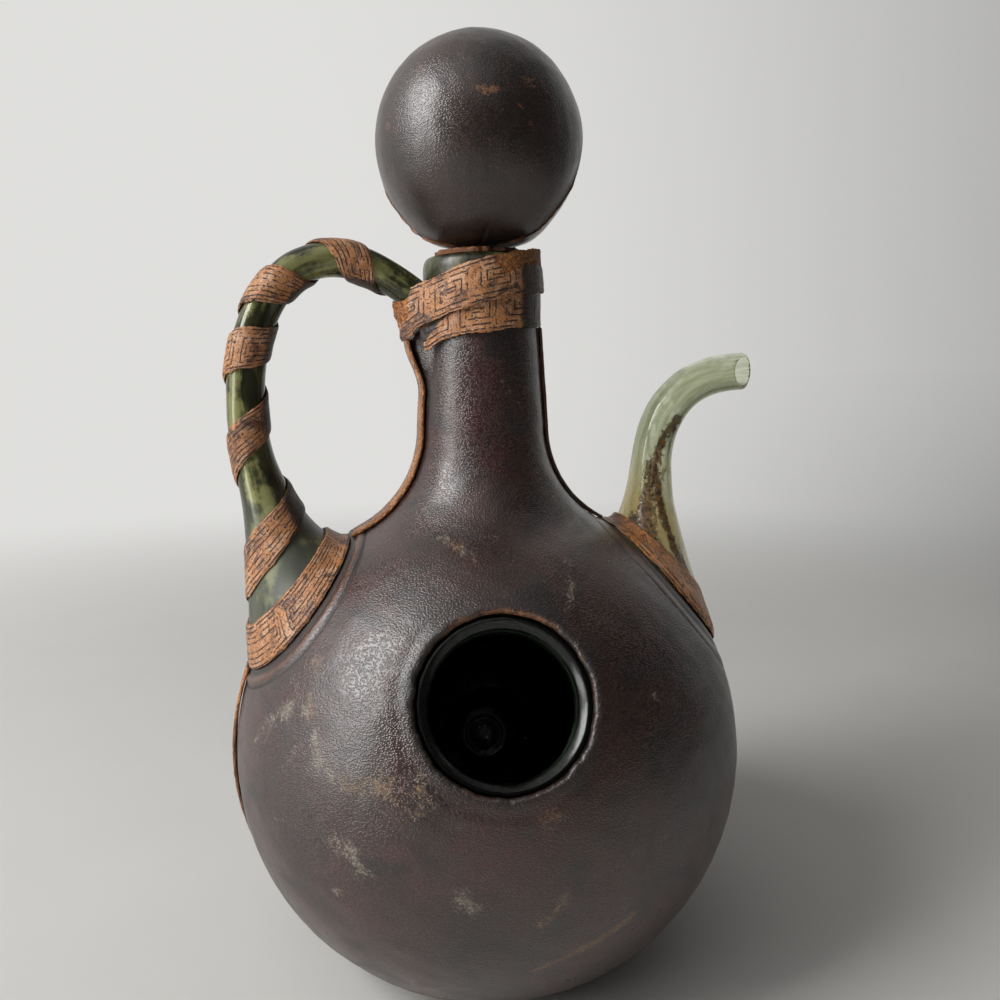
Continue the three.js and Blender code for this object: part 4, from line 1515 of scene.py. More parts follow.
@dataclass
class LeatherCover:
    """The dark hide: two body halves and a cup under the base."""

    bottle: BottleForm = BOTTLE
    pocket: PocketForm = POCKET
    feet: tuple[FlaredTube, ...] = (HANDLE, SPOUT)
    thickness: float = HIDE
    seam_gap: float = 0.4
    cup_height: float = 15.0
    top_drop: float = 15.0
    edge_reach: float = 7.0
    upper_from: float = 54.0
    upper_full: float = 64.0
    groove_at: float = 4.6
    groove_width: float = 0.32
    roll_handle: float = 0.5
    roll_spout: float = 0.18
    columns: int = 230
    rows: int = 230
    finish: DarkLeather = DarkLeather("dark leather")
    rubs: tuple[Rub, ...] = (
        Rub((-53, 122), (-51, 110), 3.0, pale=0.2, ochre=0.9),
        Rub((-51, 110), (-57, 110), 1.8, pale=0.8),
        Rub((-57, 110), (-65, 100), 2.6, pale=1.0),
        Rub((-65, 100), (-70, 93), 2.4, pale=0.7, ochre=0.4),
        Rub((-48, 105), (-47, 101), 2.4, pale=1.0),
        Rub((-47, 101), (-42, 96), 2.6, pale=1.0),
        Rub((-47, 101), (-53, 99), 1.8, pale=0.7),
        Rub((-53, 99), (-57, 90), 1.4, pale=0.6),
        Rub((-37, 96), (-31, 95), 5.0, pale=0.3, ochre=0.9),
        Rub((-31, 95), (-26, 95), 3.2, ochre=0.7),
        Rub((-23, 105), (-25, 94), 4.4, pale=0.4, ochre=0.8),
        Rub((-44, 81), (-40, 78), 3.4, pale=0.3, ochre=0.6),
        Rub((-40, 78), (-35, 71), 3.0, pale=0.9),
        Rub((-57, 77), (-49, 80), 2.2, pale=0.7),
        Rub((-42, 61), (-39, 69), 1.8, pale=0.7),
        Rub((-17, 67), (-15, 64), 3.4, pale=1.0),
        Rub((-31, 156), (-20, 153), 2.2, pale=0.9, ochre=1.0),
        Rub((-20, 155), (-14, 150), 2.0, pale=0.7),
        Rub((-10, 157), (-6, 156), 1.6, pale=0.5),
        Rub((19, 149), (11, 138), 1.8, pale=0.8),
        Rub((25, 114), (26, 113), 1.2, pale=0.9),
        Rub((-2, 57), (2, 66), 2.0, ochre=1.0),
        Rub((0, 89), (6, 95), 5.0, ochre=0.45),
        Rub((-3, 38), (6, 44), 0.9, ochre=2.2),
        Rub((6, 44), (17, 52), 1.2, ochre=2.4),
        Rub((5, 208), (24, 196), 1.2, pale=0.5),
        Rub((150, 118), (158, 106), 3.0, pale=0.8),
        Rub((158, 106), (163, 96), 2.4, pale=0.6, ochre=0.5),
        Rub((186, 84), (196, 78), 4.0, ochre=0.8),
        Rub((206, 122), (212, 116), 2.6, pale=0.8),
        Rub((172, 60), (178, 52), 2.8, pale=0.7),
        Rub((176, 152), (188, 148), 1.8, pale=0.6),
    )

    def build(self) -> None:
        """Builds and dresses the three pieces of hide."""
        hide = self.finish.material()
        slot, body = Slot.DARK_LEATHER, Body.DECANTER
        fit(self.half("leather_front", Half.FRONT), body, slot, hide, "front_leather_panel")
        fit(self.half("leather_back", Half.BACK), body, slot, hide, "back_leather_panel")
        fit(self.cup(), body, slot, hide, "base_leather_cup")

    def off_edges(self, sheet: Sheet, half: Half) -> tuple[Array, Array]:
        """Distances of the hide's outer face from the feet and from the edge of the ice mouth.

        Args:
            sheet: Surface under the hide.
            half: Front or back.

        Returns:
            The two distances at each corner, negative where the hide is cut away.
        """
        outer = sheet.raised(self.thickness)
        foot = np.min([tube.off_foot(outer) for tube in self.feet], axis=0) - FIT_GAP
        if half is Half.BACK:
            return foot, np.full(len(foot), FAR)
        ragged = 0.25 * ripple(outer, 7.0, 31) + 0.12 * ripple(outer, 2.5, 32)
        off_mouth = off_axis(outer, self.bottle.belly_centre, self.pocket.axis)
        return foot, off_mouth - self.pocket.leather_radius + ragged

    def placed(self, turn: float, height: float) -> Points:
        """Place on the bottle, at degrees from the front and a height."""
        line = self.bottle.profile(600, self.bottle.floor, self.bottle.lip_start)
        return heading(turn) * np.interp(height, line[:, 1], line[:, 0]) + UP * height

    def half(self, name: str, half: Half) -> Piece:
        """One half of the body's cover, cut round both feet and, in front, round the ice mouth.

        Args:
            name: Name of the piece.
            half: Front or back.

        Returns:
            The piece.
        """
        form = self.bottle
        low = self.cup_height + self.seam_gap
        profile = form.profile(self.rows, low, form.rim_height - self.top_drop)
        angles = np.linspace(half.value - 90.0, half.value + 90.0, self.columns)
        points, normals = form.turned_grid(profile, angles, FIT_GAP)
        points[:, :, 1] += half.ahead * self.seam_gap / 2.0 * bell(points[:, :, 1], 0.0, 1.0)
        sheet = Sheet.grid(points, normals)
        for _ in range(2):
            edge = np.minimum(*self.off_edges(sheet, half))
            sheet = sheet.refined((edge > -3.0) & (edge < self.edge_reach))
        foot, mouth = self.off_edges(sheet, half)
        sheet.values = {"foot": foot, "mouth": mouth}
        sheet = sheet.clipped(np.minimum(foot, mouth))
        foot, mouth = sheet.values.pop("foot"), sheet.values.pop("mouth")
        upper = smooth((sheet.points - form.belly_centre) @ UP, self.upper_from, self.upper_full)
        handle, spout = self.feet
        foot = foot - np.where(sheet.points[:, 0] > 0.0, spout.brim, handle.brim)
        groove = bell(foot, self.groove_at, self.groove_width)
        scuffed = np.clip(upper - 0.1 + 0.5 * ripple(sheet.points, 9.0, 33), 0.0, 1.0)
        # Painted shade along the ice mouth's edge, on its lower part under the lip.
        under_lip = 0.6 * bell(mouth, 0.9, 1.3) * (1.0 - upper)
        sheet.values = {
            "wear": np.maximum(0.3 * bell(foot, 3.0, 0.8), 0.6 * bell(mouth, 0.2, 0.6) * scuffed),
            # The shade value is painted shade: dark in the sunk groove beside each foot, under the collar's
            # edge and along the lower edge of the ice mouth.
            "shade": np.max([groove, bell(foot, 1.2, 0.7), under_lip], axis=0),
            "edge": 0.05 + 0.3 * upper,
            **rubbed(self.rubs, sheet.points, self.placed),
        }
        relief = 0.16 * ripple(sheet.points, 34.0, 11) + 0.08 * ripple(sheet.points, 11.0, 12)
        relief *= smooth(np.abs(sheet.points[:, 1]), 4.0, 14.0) * smooth(foot, 0.0, 6.0)
        roll = np.where(sheet.points[:, 0] > 0.0, self.roll_spout, self.roll_handle)
        relief += roll * bell(foot, 3.1, 0.85) * smooth(foot, 1.5, 2.6) - 0.8 * roll * groove
        relief -= 0.2 * bell(mouth, 4.6, 2.0)
        rounded = rounded_off(mouth, self.thickness, 0.35)
        inner = sheet.points
        for tube in self.feet:
            inner = tube.pushed_clear(inner, FIT_GAP)
        stand_off = FIN.hide(sheet.points)[:, None] * (-1.0, 0.0, 0.0)
        outer = sheet.raised(self.thickness * rounded + relief) + stand_off
        return sheet.solid(name, outer, inner + stand_off)

    def cup(self) -> Piece:
        """The cup: a disc under the base, turned up a little round it to a ragged edge.

        Returns:
            The piece.
        """
        form = self.bottle
        wall = form.profile(34, form.floor, self.cup_height)
        floor = np.zeros((30, 4))
        floor[:, 0] = np.linspace(0.4, form.base_radius, 30)
        floor[:, 1] = form.floor
        floor[:, 3] = -1.0
        corner = np.linspace(0.0, 1.0, 8)[1:, None]
        bend = np.repeat(floor[-1:], 7, axis=0)
        bend[:, 2:] = unit(floor[-1, 2:] * (1.0 - corner) + wall[0, 2:] * corner)
        outline = np.concatenate([floor, bend, wall[1:]])
        angles = np.linspace(-180.0, 180.0, 256, endpoint=False)
        points, normals = form.turned_grid(outline, angles, FIT_GAP)
        sheet = Sheet.grid(points, normals, wraps=True)
        ragged = 0.55 * ripple(sheet.points, 9.0, 21) + 0.35 * ripple(sheet.points, 2.8, 22)
        sheet.values = {"rim": self.cup_height - 0.75 - sheet.points[:, 2] + ragged}
        sheet = sheet.clipped(sheet.values["rim"])
        rim = sheet.values.pop("rim")
        scuffed = np.clip(0.5 + 0.5 * ripple(sheet.points, 26.0, 23), 0.0, 1.0)
        sheet.values = {"wear": bell(rim, 0.0, 0.9) * scuffed, "edge": np.ones(len(rim))}
        rounded = rounded_off(rim, 1.2, 0.55)
        lumps = 0.10 * ripple(sheet.points, 24.0, 24) * smooth(sheet.points[:, 2], 4.0, 9.0)
        return sheet.solid("leather_base", sheet.raised(self.thickness * rounded + lumps), sheet.points)


@dataclass
class Ribbon:
    """A strip of tooled leather, laid along any route.

    Attributes:
        length: Length along the route.
        route: Gives the place for a distance along, a distance across from the middle, and a lift.
        ragged: How far the edges wander.
        curl: How far the edges lift.
        skive: Distance over which the edges are pared down.
        edge_share: Share of the thickness that is left at the edges.
        closed: Whether the end joins the start.
        step: Size of one step along and across.
    """

    name: str
    length: float
    width: float
    thickness: float
    route: Callable[[Array, Array, float], Points]
    ragged: float = 0.22
    curl: float = 0.18
    skive: float = 1.0
    edge_share: float = 0.55
    closed: bool = False
    step: float = 0.62

    def sheet(self) -> tuple[Sheet, Array, Array]:
        """The strip's surface on its seat.

        Returns:
            The sheet, and the distances along and across of its corners.
        """
        rows = max(8, round(self.length / self.step))
        columns = max(8, round(self.width / self.step))
        share = np.linspace(0.0, 1.0, rows, endpoint=not self.closed)
        side = np.linspace(-1.0, 1.0, columns)
        share, side = np.meshgrid(share, side, indexing="ij")
        seed = sum(map(ord, self.name))
        lanes = np.stack([share * self.length, np.sign(side) * 40.0, np.zeros_like(side)], axis=-1)
        if self.closed:
            turn = share * 2.0 * math.pi
            reach = self.length / (2.0 * math.pi)
            lanes = np.stack([reach * np.cos(turn), reach * np.sin(turn), np.sign(side) * 40.0], axis=-1)
        wander = ripple(lanes, 9.0, seed) + 0.7 * ripple(lanes, 2.6, seed + 1)
        across = side * self.width / 2.0 + self.ragged * wander * side**2 * np.sign(side)
        along = share * self.length
        if self.closed:
            along, across = along.T, across.T
        else:
            tear = ripple(np.stack([across, across * 0.0, share * 90.0], axis=-1), 4.0, seed + 2)
            along = along + self.ragged * 2.5 * tear * (2.0 * share - 1.0) ** 8
        seat = self.route(along, across, 0.0)
        normals = unit(self.route(along, across, 1.0) - seat)
        return Sheet.grid(seat, normals, wraps=self.closed), along.reshape(-1), across.reshape(-1)

    def build(self, shade_and_dirt: Marks, torn: Marks, clear: Callable[[Points], Array] | None = None) -> Piece:
        """Builds the piece.

        Args:
            shade_and_dirt: Darkness of each corner, partly painted shade, from its place and its distances
                along and across.
            torn: Paleness of each corner, from the same.
            clear: Where the strip is kept, as a value that is positive there.

        Returns:
            The piece.
        """
        sheet, along, across = self.sheet()
        scale = PATTERN_HEIGHT / self.width
        from_end = np.full(len(along), FAR) if self.closed else np.minimum(along, self.length - along)
        sheet.values = {
            "key_along": along * scale,
            "key_across": across * scale,
            "shade_and_dirt": shade_and_dirt(sheet.points, along, across),
            "torn": torn(sheet.points, along, across),
            "from_edge": self.width / 2.0 - np.abs(across),
            "from_end": from_end,
        }
        if clear is not None:
            sheet = sheet.clipped(clear(sheet.points))
        edge = np.minimum(sheet.values.pop("from_edge"), sheet.values.pop("from_end"))
        rounded = rounded_off(edge, self.skive, self.edge_share)
        rounded *= 1.0 - 0.35 * smooth(sheet.values["torn"], 0.35, 0.65)
        lifted = self.curl * (0.6 + 0.4 * ripple(sheet.points, 13.0, 41)) * bell(edge, 0.0, 1.1)
        lumps = 0.07 * ripple(sheet.points, 6.0, 42) * smooth(edge, 0.0, 2.0)
        outer = sheet.raised(self.thickness * rounded + lifted + lumps)
        return sheet.solid(self.name, outer, sheet.raised(lifted))


@dataclass(frozen=True)
class NeckBand:
    """A tooled band round the top of the neck: its lower edge is highest at the spout."""

    drop: float
    rise: float
    tail: float

    def bottom(self, degrees: Array | float) -> Array:
        """Height of the lower edge at degrees from the front, toward the spout."""
        return BOTTLE.rim_height - self.drop - self.rise * ((90.0 - np.asarray(degrees)) / 180.0) ** 2


@dataclass
class TooledStrips:
    """Tan strips: on the seams, round the feet, round the neck and up the handle."""

    bottle: BottleForm = BOTTLE
    handle: HandleTube = HANDLE
    spout: SpoutTube = SPOUT
    hide: float = HIDE
    strip_width: float = 10.0
    strip_thickness: float = 1.2
    strip_tail: float = 8.0
    fin: SeamFin = FIN
    strip_reach: float = 4.0
    collar_thickness: float = 1.4
    band_width: float = 14.2
    band_thickness: float = 0.8
    band_leave: float = -38.0
    band_end: float = 245.0
    band_slack: float = 13.0
    band_slant: float = 4.5
    band_droop: float = 2.6
    lower: NeckBand = NeckBand(drop=23.7, rise=7.0, tail=15.5)
    upper: NeckBand = NeckBand(drop=11.8, rise=15.4, tail=24.0)
    wrap_width: float = 13.6
    wrap_flatten: float = 1.3
    wrap_thickness: float = 0.9
    wrap_pitch: float = 28.5
    wrap_turns: float = 4.7
    wrap_start: float = 15.5
    wrap_start_turn: float = -30.0
    wrap_creep: float = 8.0
    wrap_creep_from: float = 0.35
    wrap_creep_turns: float = 3.0
    keyed: TooledLeather = TooledLeather("tooled key leather", Tooling.KEY)
    lined: TooledLeather = TooledLeather("tooled line leather", Tooling.LONG_KEY, pitch=1.75)
    bright: TooledLeather = TooledLeather(
        "tooled collar leather",
        Tooling.KEY,
        pitch=1.75,
        tan=(0.78, 0.33, 0.10),
        orange=(0.84, 0.34, 0.075),
        brown=(0.40, 0.15, 0.055),
        plum=(0.42, 0.15, 0.06),
    )

    @property
    def seat(self) -> float:
        """Distance of the strips' undersides from the glass of the body."""
        return FIT_GAP + self.hide + FIT_GAP

    def build(self) -> None:
        """Builds and dresses the nine strips."""
        keyed, lined = self.keyed.material(), self.lined.material()
        for word, tube in (("handle", self.handle), ("spout", self.spout)):
            foot = float(tube.foot[2])
            top = float(self.lower.bottom(90.0 * tube.side.value)) - FIT_GAP
            top += self.strip_reach if tube.side is Side.HANDLE else 0.0
            upper = self.seam(f"strip_{word}_upper", tube, foot, top)
            self.add(upper, lined, f"seam_strip_{word}_upper")
            lower = self.seam(f"strip_{word}_lower", tube, self.strip_tail, foot)
            self.add(lower, lined, f"seam_strip_{word}_lower")
            finish = lined if tube.side is Side.HANDLE else self.bright.material()
            self.add(self.collar(f"collar_{word}", tube), finish, f"{word}_foot_band")
        self.add(self.neck_band("band_neck_lower", self.lower), keyed, "neck_band_lower")
        self.add(self.neck_band("band_neck_upper", self.upper), keyed, "neck_band_upper")
        self.add(self.wrap(), lined, "handle_wrap")

    def add(self, thing: Piece, material: Material, node: str) -> None:
        """Dresses a strip and sets it on the decanter in place of its solid."""
        fit(thing, Body.DECANTER, Slot.TOOLED_LEATHER, material, node)

    def seam(self, name: str, tube: FlaredTube, low: float, high: float) -> Piece:
        """A strip over the seam on one side, that stops short of the foot's collar.

        Args:
            name: Name of the piece.
            tube: The tube on that side.
            low: Height of its lower end.
            high: Height of its upper end.

        Returns:
            The piece.
        """
        form, side = self.bottle, tube.side.value
        profile = form.profile(400, low, min(high, form.lip_start))
        reached = travelled(profile[:, :2])
        lifts = tube.side is Side.HANDLE and high > form.neck_start

        def route(along: Array, across: Array, lift: float) -> Points:
            """Place on the strip.

            Args:
                along: Distances along it.
                across: Distances across it from its middle.
                lift: Height above its seat.

            Returns:
                The places.
            """
            radius, height, out, rise = (np.interp(along, reached, column) for column in profile.T)
            off = self.seat + lift
            away = self.fin.away(height) if lifts else 0.0
            return np.stack([side * (radius + off * out + away), across, height + off * rise], axis=-1)

        collar = FIT_GAP + self.collar_thickness + FIT_GAP + tube.brim
        strip = Ribbon(name, float(reached[-1]), self.strip_width, self.strip_thickness, route, ragged=0.4)

        def shade_and_dirt(points: Points, along: Array, across: Array) -> Array:
            """The spout's side is painted nearly black as shade; the handle's side darkens toward the base.

            Args:
                points: Places on the strip.
                along: Their distances along it.
                across: Their distances across it.

            Returns:
                A share for each place.
            """
            # Painted shade: the seam strip on the spout's side lies on the shaded side of the decanter.
            if tube.side is Side.SPOUT:
                return np.full(len(points), 0.85)
            return 0.1 + 0.75 * smooth(points[:, 2], 104.0, 84.0)

        def torn(points: Points, along: Array, across: Array) -> Array:
            """The edges are rubbed raw on the handle's side."""
            return bell(np.abs(across), 5.0, 1.0) * (tube.side is Side.HANDLE)

        return strip.build(shade_and_dirt, torn, lambda points: tube.off_foot(points) - collar)

    def collar(self, name: str, tube: FlaredTube) -> Piece:
        """A collar round a foot, standing on the hide and following the flare.

        Args:
            name: Name of the piece.
            tube: The tube that it goes round.

        Returns:
            The piece.
        """
        form = self.bottle
        along_tube = np.linspace(-tube.foot_sink, tube.flare_length, 160)
        turns = np.linspace(0.0, 2.0 * math.pi, 181)
        distance, turn = np.meshgrid(along_tube, turns, indexing="ij")
        off_belly = form.off_belly(tube.surface(distance, turn, FIT_GAP))
        ends = np.array(
            [
                [np.interp(self.seat + reach, off_belly[:, k], along_tube) for k in range(len(turns))]
                for reach in (0.0, tube.band_width)
            ]
        )

        def brimmed(points: Points, share: Array) -> Points:
            """Places on the collar, with its lower edge spread out along the hide.

            Args:
                points: Places on the plain collar.
                share: How far up the collar each of them lies.

            Returns:
                The moved places.
            """
            from_foot = points - tube.foot
            outward = unit(from_foot - (from_foot @ tube.foot_normal)[..., None] * tube.foot_normal)
            spread = points + (tube.brim * np.clip(1.0 - share, 0.0, 1.0) ** 1.5)[..., None] * outward
            apart = lengths(points - form.belly_centre)
            return form.belly_centre + unit(spread - form.belly_centre) * apart[..., None]

        foot_ring = brimmed(tube.surface(ends[0], turns, FIT_GAP), np.zeros(len(turns)))
        length = float(travelled(foot_ring)[-1])
        height = float(np.mean(lengths(tube.surface(ends[1], turns, FIT_GAP) - foot_ring)))

        def route(along: Array, across: Array, lift: float) -> Points:
            """Place on the collar.

            Args:
                along: Distances along it.
                across: Distances across it from its middle.
                lift: Height above its seat.

            Returns:
                The places.
            """
            turn = along / length * 2.0 * math.pi
            low, high = (np.interp(turn % (2.0 * math.pi), turns, edge) for edge in ends)
            share = across / height + 0.5
            place = tube.surface(low + (high - low) * share, turn, FIT_GAP + lift)
            return brimmed(place, share)

        dark_end = 0.5 if tube.side is Side.SPOUT else 0.45

        def shade_and_dirt(points: Points, along: Array, across: Array) -> Array:
            """Darker at the neck's side and the far side of the collar, and painted shade under its lower
            edge.
            """
            facing = np.abs(np.cos(along / length * 2.0 * math.pi))
            # The bell under the lower edge is painted shade where the collar meets the hide.
            return np.maximum(dark_end * smooth(facing, 0.8, 1.0), 0.5 * bell(across, -height / 2.0, 1.0))

        strip = Ribbon(name, length, height, self.collar_thickness, route, ragged=0.25, closed=True)
        return strip.build(shade_and_dirt, lambda points, along, across: 0.5 * bell(across, height / 2.0, 0.8))

    def neck_band(self, name: str, band: NeckBand) -> Piece:
        """A band from its straight tail beside the handle, across the front and round the back.

        Args:
            name: Name of the piece.
            band: Its lie on the neck.

        Returns:
            The piece.
        """
        form = self.bottle
        under = float(form.neck_radius_at(self.lower.bottom(-90.0))) + self.seat
        over = under + self.band_thickness + FIT_GAP
        radius = under if band is self.lower else over
        rim = form.neck_top_radius + form.lip_flare + FIT_GAP
        leaving = math.radians(self.band_leave)
        straight = np.array([-math.cos(leaving), -math.sin(leaving), 0.0])
        per_degree = radius * math.radians(1.0)
        slope = float(band.bottom(self.band_leave + 1.0) - band.bottom(self.band_leave)) / per_degree
        length = band.tail + (self.band_end - self.band_leave) * per_degree

        def route(along: Array, across: Array, lift: float) -> Points:
            """Place on the band.

            Args:
                along: Distances along it.
                across: Distances across it from its middle.
                lift: Height above its seat.

            Returns:
                The places.
            """
            slack = (0.5 - across / self.band_width) * smooth(along, self.band_slack, 0.0)
            along = along + self.band_slant * slack
            degrees = self.band_leave + np.maximum(0.0, along - band.tail) / per_degree
            run = np.maximum(0.0, band.tail - along)
            bottom = band.bottom(degrees)
            height = bottom + across + self.band_width / 2.0
            reach = np.full_like(height, radius)
            if band is self.upper:
                top = bottom + self.band_width
                knee = np.clip(self.lower.bottom(degrees) + self.band_width + FIT_GAP, bottom, top)
                closing = smooth(top - knee, 0.0, self.band_width / 2.0)
                share = np.clip((height - knee) / np.maximum(top - knee, 1e-6), 0.0, 1.0)
                reach = radius + (rim - radius) * closing * share
            angle = np.radians(degrees)
            out = np.stack([np.sin(angle), -np.cos(angle), np.zeros_like(angle)], axis=-1)
            sunk = height - slope * run - self.band_droop * slack
            return out * (reach + lift)[..., None] + run[..., None] * straight + sunk[..., None] * UP

        def shade_and_dirt(points: Points, along: Array, across: Array) -> Array:
            """The side toward the spout is nearly black, and the lower band is painted dark as shade where
            the upper one covers it.

            Args:
                points: Places on the strip.
                along: Their distances along it.
                across: Their distances across it.

            Returns:
                A share for each place.
            """
            # Painted shadow on the lower band, in the gap below the upper band's tail.
            above = across + self.band_width / 2.0 - 2.0 - 0.36 * along
            covered = smooth(above, -0.5, 1.0) * (band is self.lower)
            return np.maximum(smooth(points[:, 0], 7.0, 12.0), covered)

        def torn(points: Points, along: Array, across: Array) -> Array:
            """The tail's end and the upper edge by the spout are torn to raw leather.

            Args:
                points: Places on the strip.
                along: Their distances along it.
                across: Their distances across it.

            Returns:
                A share for each place.
            """
            wavy = across + 1.1 * ripple(points, 5.0, 43)
            ripped = smooth(wavy, 0.4, 2.8) * smooth(points[:, 0], -3.0, 5.0) * (points[:, 1] < 6.0)
            end = smooth(along + 1.2 * ripple(points, 4.0, 44), 8.5, 4.5) * smooth(wavy, -3.0, 0.0)
            return np.maximum(end, ripped) if band is self.upper else 0.6 * end

        def clear(points: Points) -> Array:
            """Distance from the handle's glass.

            Args:
                points: Places on the band.

            Returns:
                A distance for each place.
            """
            far = self.handle.spine()[-150:]
            gaps = np.min([lengths(points - spot) for spot in far], axis=0)
            return gaps - self.handle.end_radius - 3.0 * FIT_GAP

        strip = Ribbon(name, length, self.band_width, self.band_thickness, route, ragged=0.3, curl=0.3)
        return strip.build(shade_and_dirt, torn, clear)

    def wrap(self) -> Piece:
        """The strip wound up the handle, from the collar to the crown.

        Returns:
            The piece.
        """
        tube = self.handle
        turn_length = math.hypot(2.0 * math.pi * (tube.radius + 1.0), self.wrap_pitch)

        def route(along: Array, across: Array, lift: float) -> Points:
            """Place on the winding.

            Args:
                along: Distances along it.
                across: Distances across it from its middle.
                lift: Height above its seat.

            Returns:
                The places.
            """
            wound = along / turn_length
            creep = np.clip((wound - self.wrap_creep_from) / self.wrap_creep_turns, 0.0, 1.0)
            middle = self.wrap_start + self.wrap_pitch * wound
            middle = middle + self.wrap_creep * np.sin(math.pi * creep) ** 2
            turn = math.radians(self.wrap_start_turn) + 2.0 * math.pi * wound
            return tube.surface(middle + across + self.wrap_flatten * np.cos(turn), turn, FIT_GAP + lift)

        off = self.seat + tube.band_width + FIT_GAP

        def clear(points: Points) -> Array:
            """Distance above the collar's upper edge, near the foot."""
            from_belly = self.bottle.off_belly(points) - off
            return np.where(points[:, 2] < tube.flare_top[2], from_belly, 1.0)

        def shade_and_dirt(points: Points, along: Array, across: Array) -> Array:
            """Darker on the inside of the bend, toward the neck, and a little toward the lower end."""
            turn = math.radians(self.wrap_start_turn) + along / turn_length * 2.0 * math.pi
            return 0.8 * smooth(np.cos(turn), -0.35, -0.95) + 0.25 * smooth(along, 70.0, 25.0)

        strip = Ribbon(
            "wrap_handle",
            self.wrap_turns * turn_length,
            self.wrap_width,
            self.wrap_thickness,
            route,
            ragged=0.35,
            curl=0.05,
            skive=2.4,
            edge_share=0.3,
        )
        return strip.build(shade_and_dirt, lambda points, along, across: 0.55 * bell(np.abs(across), 6.8, 0.6), clear)


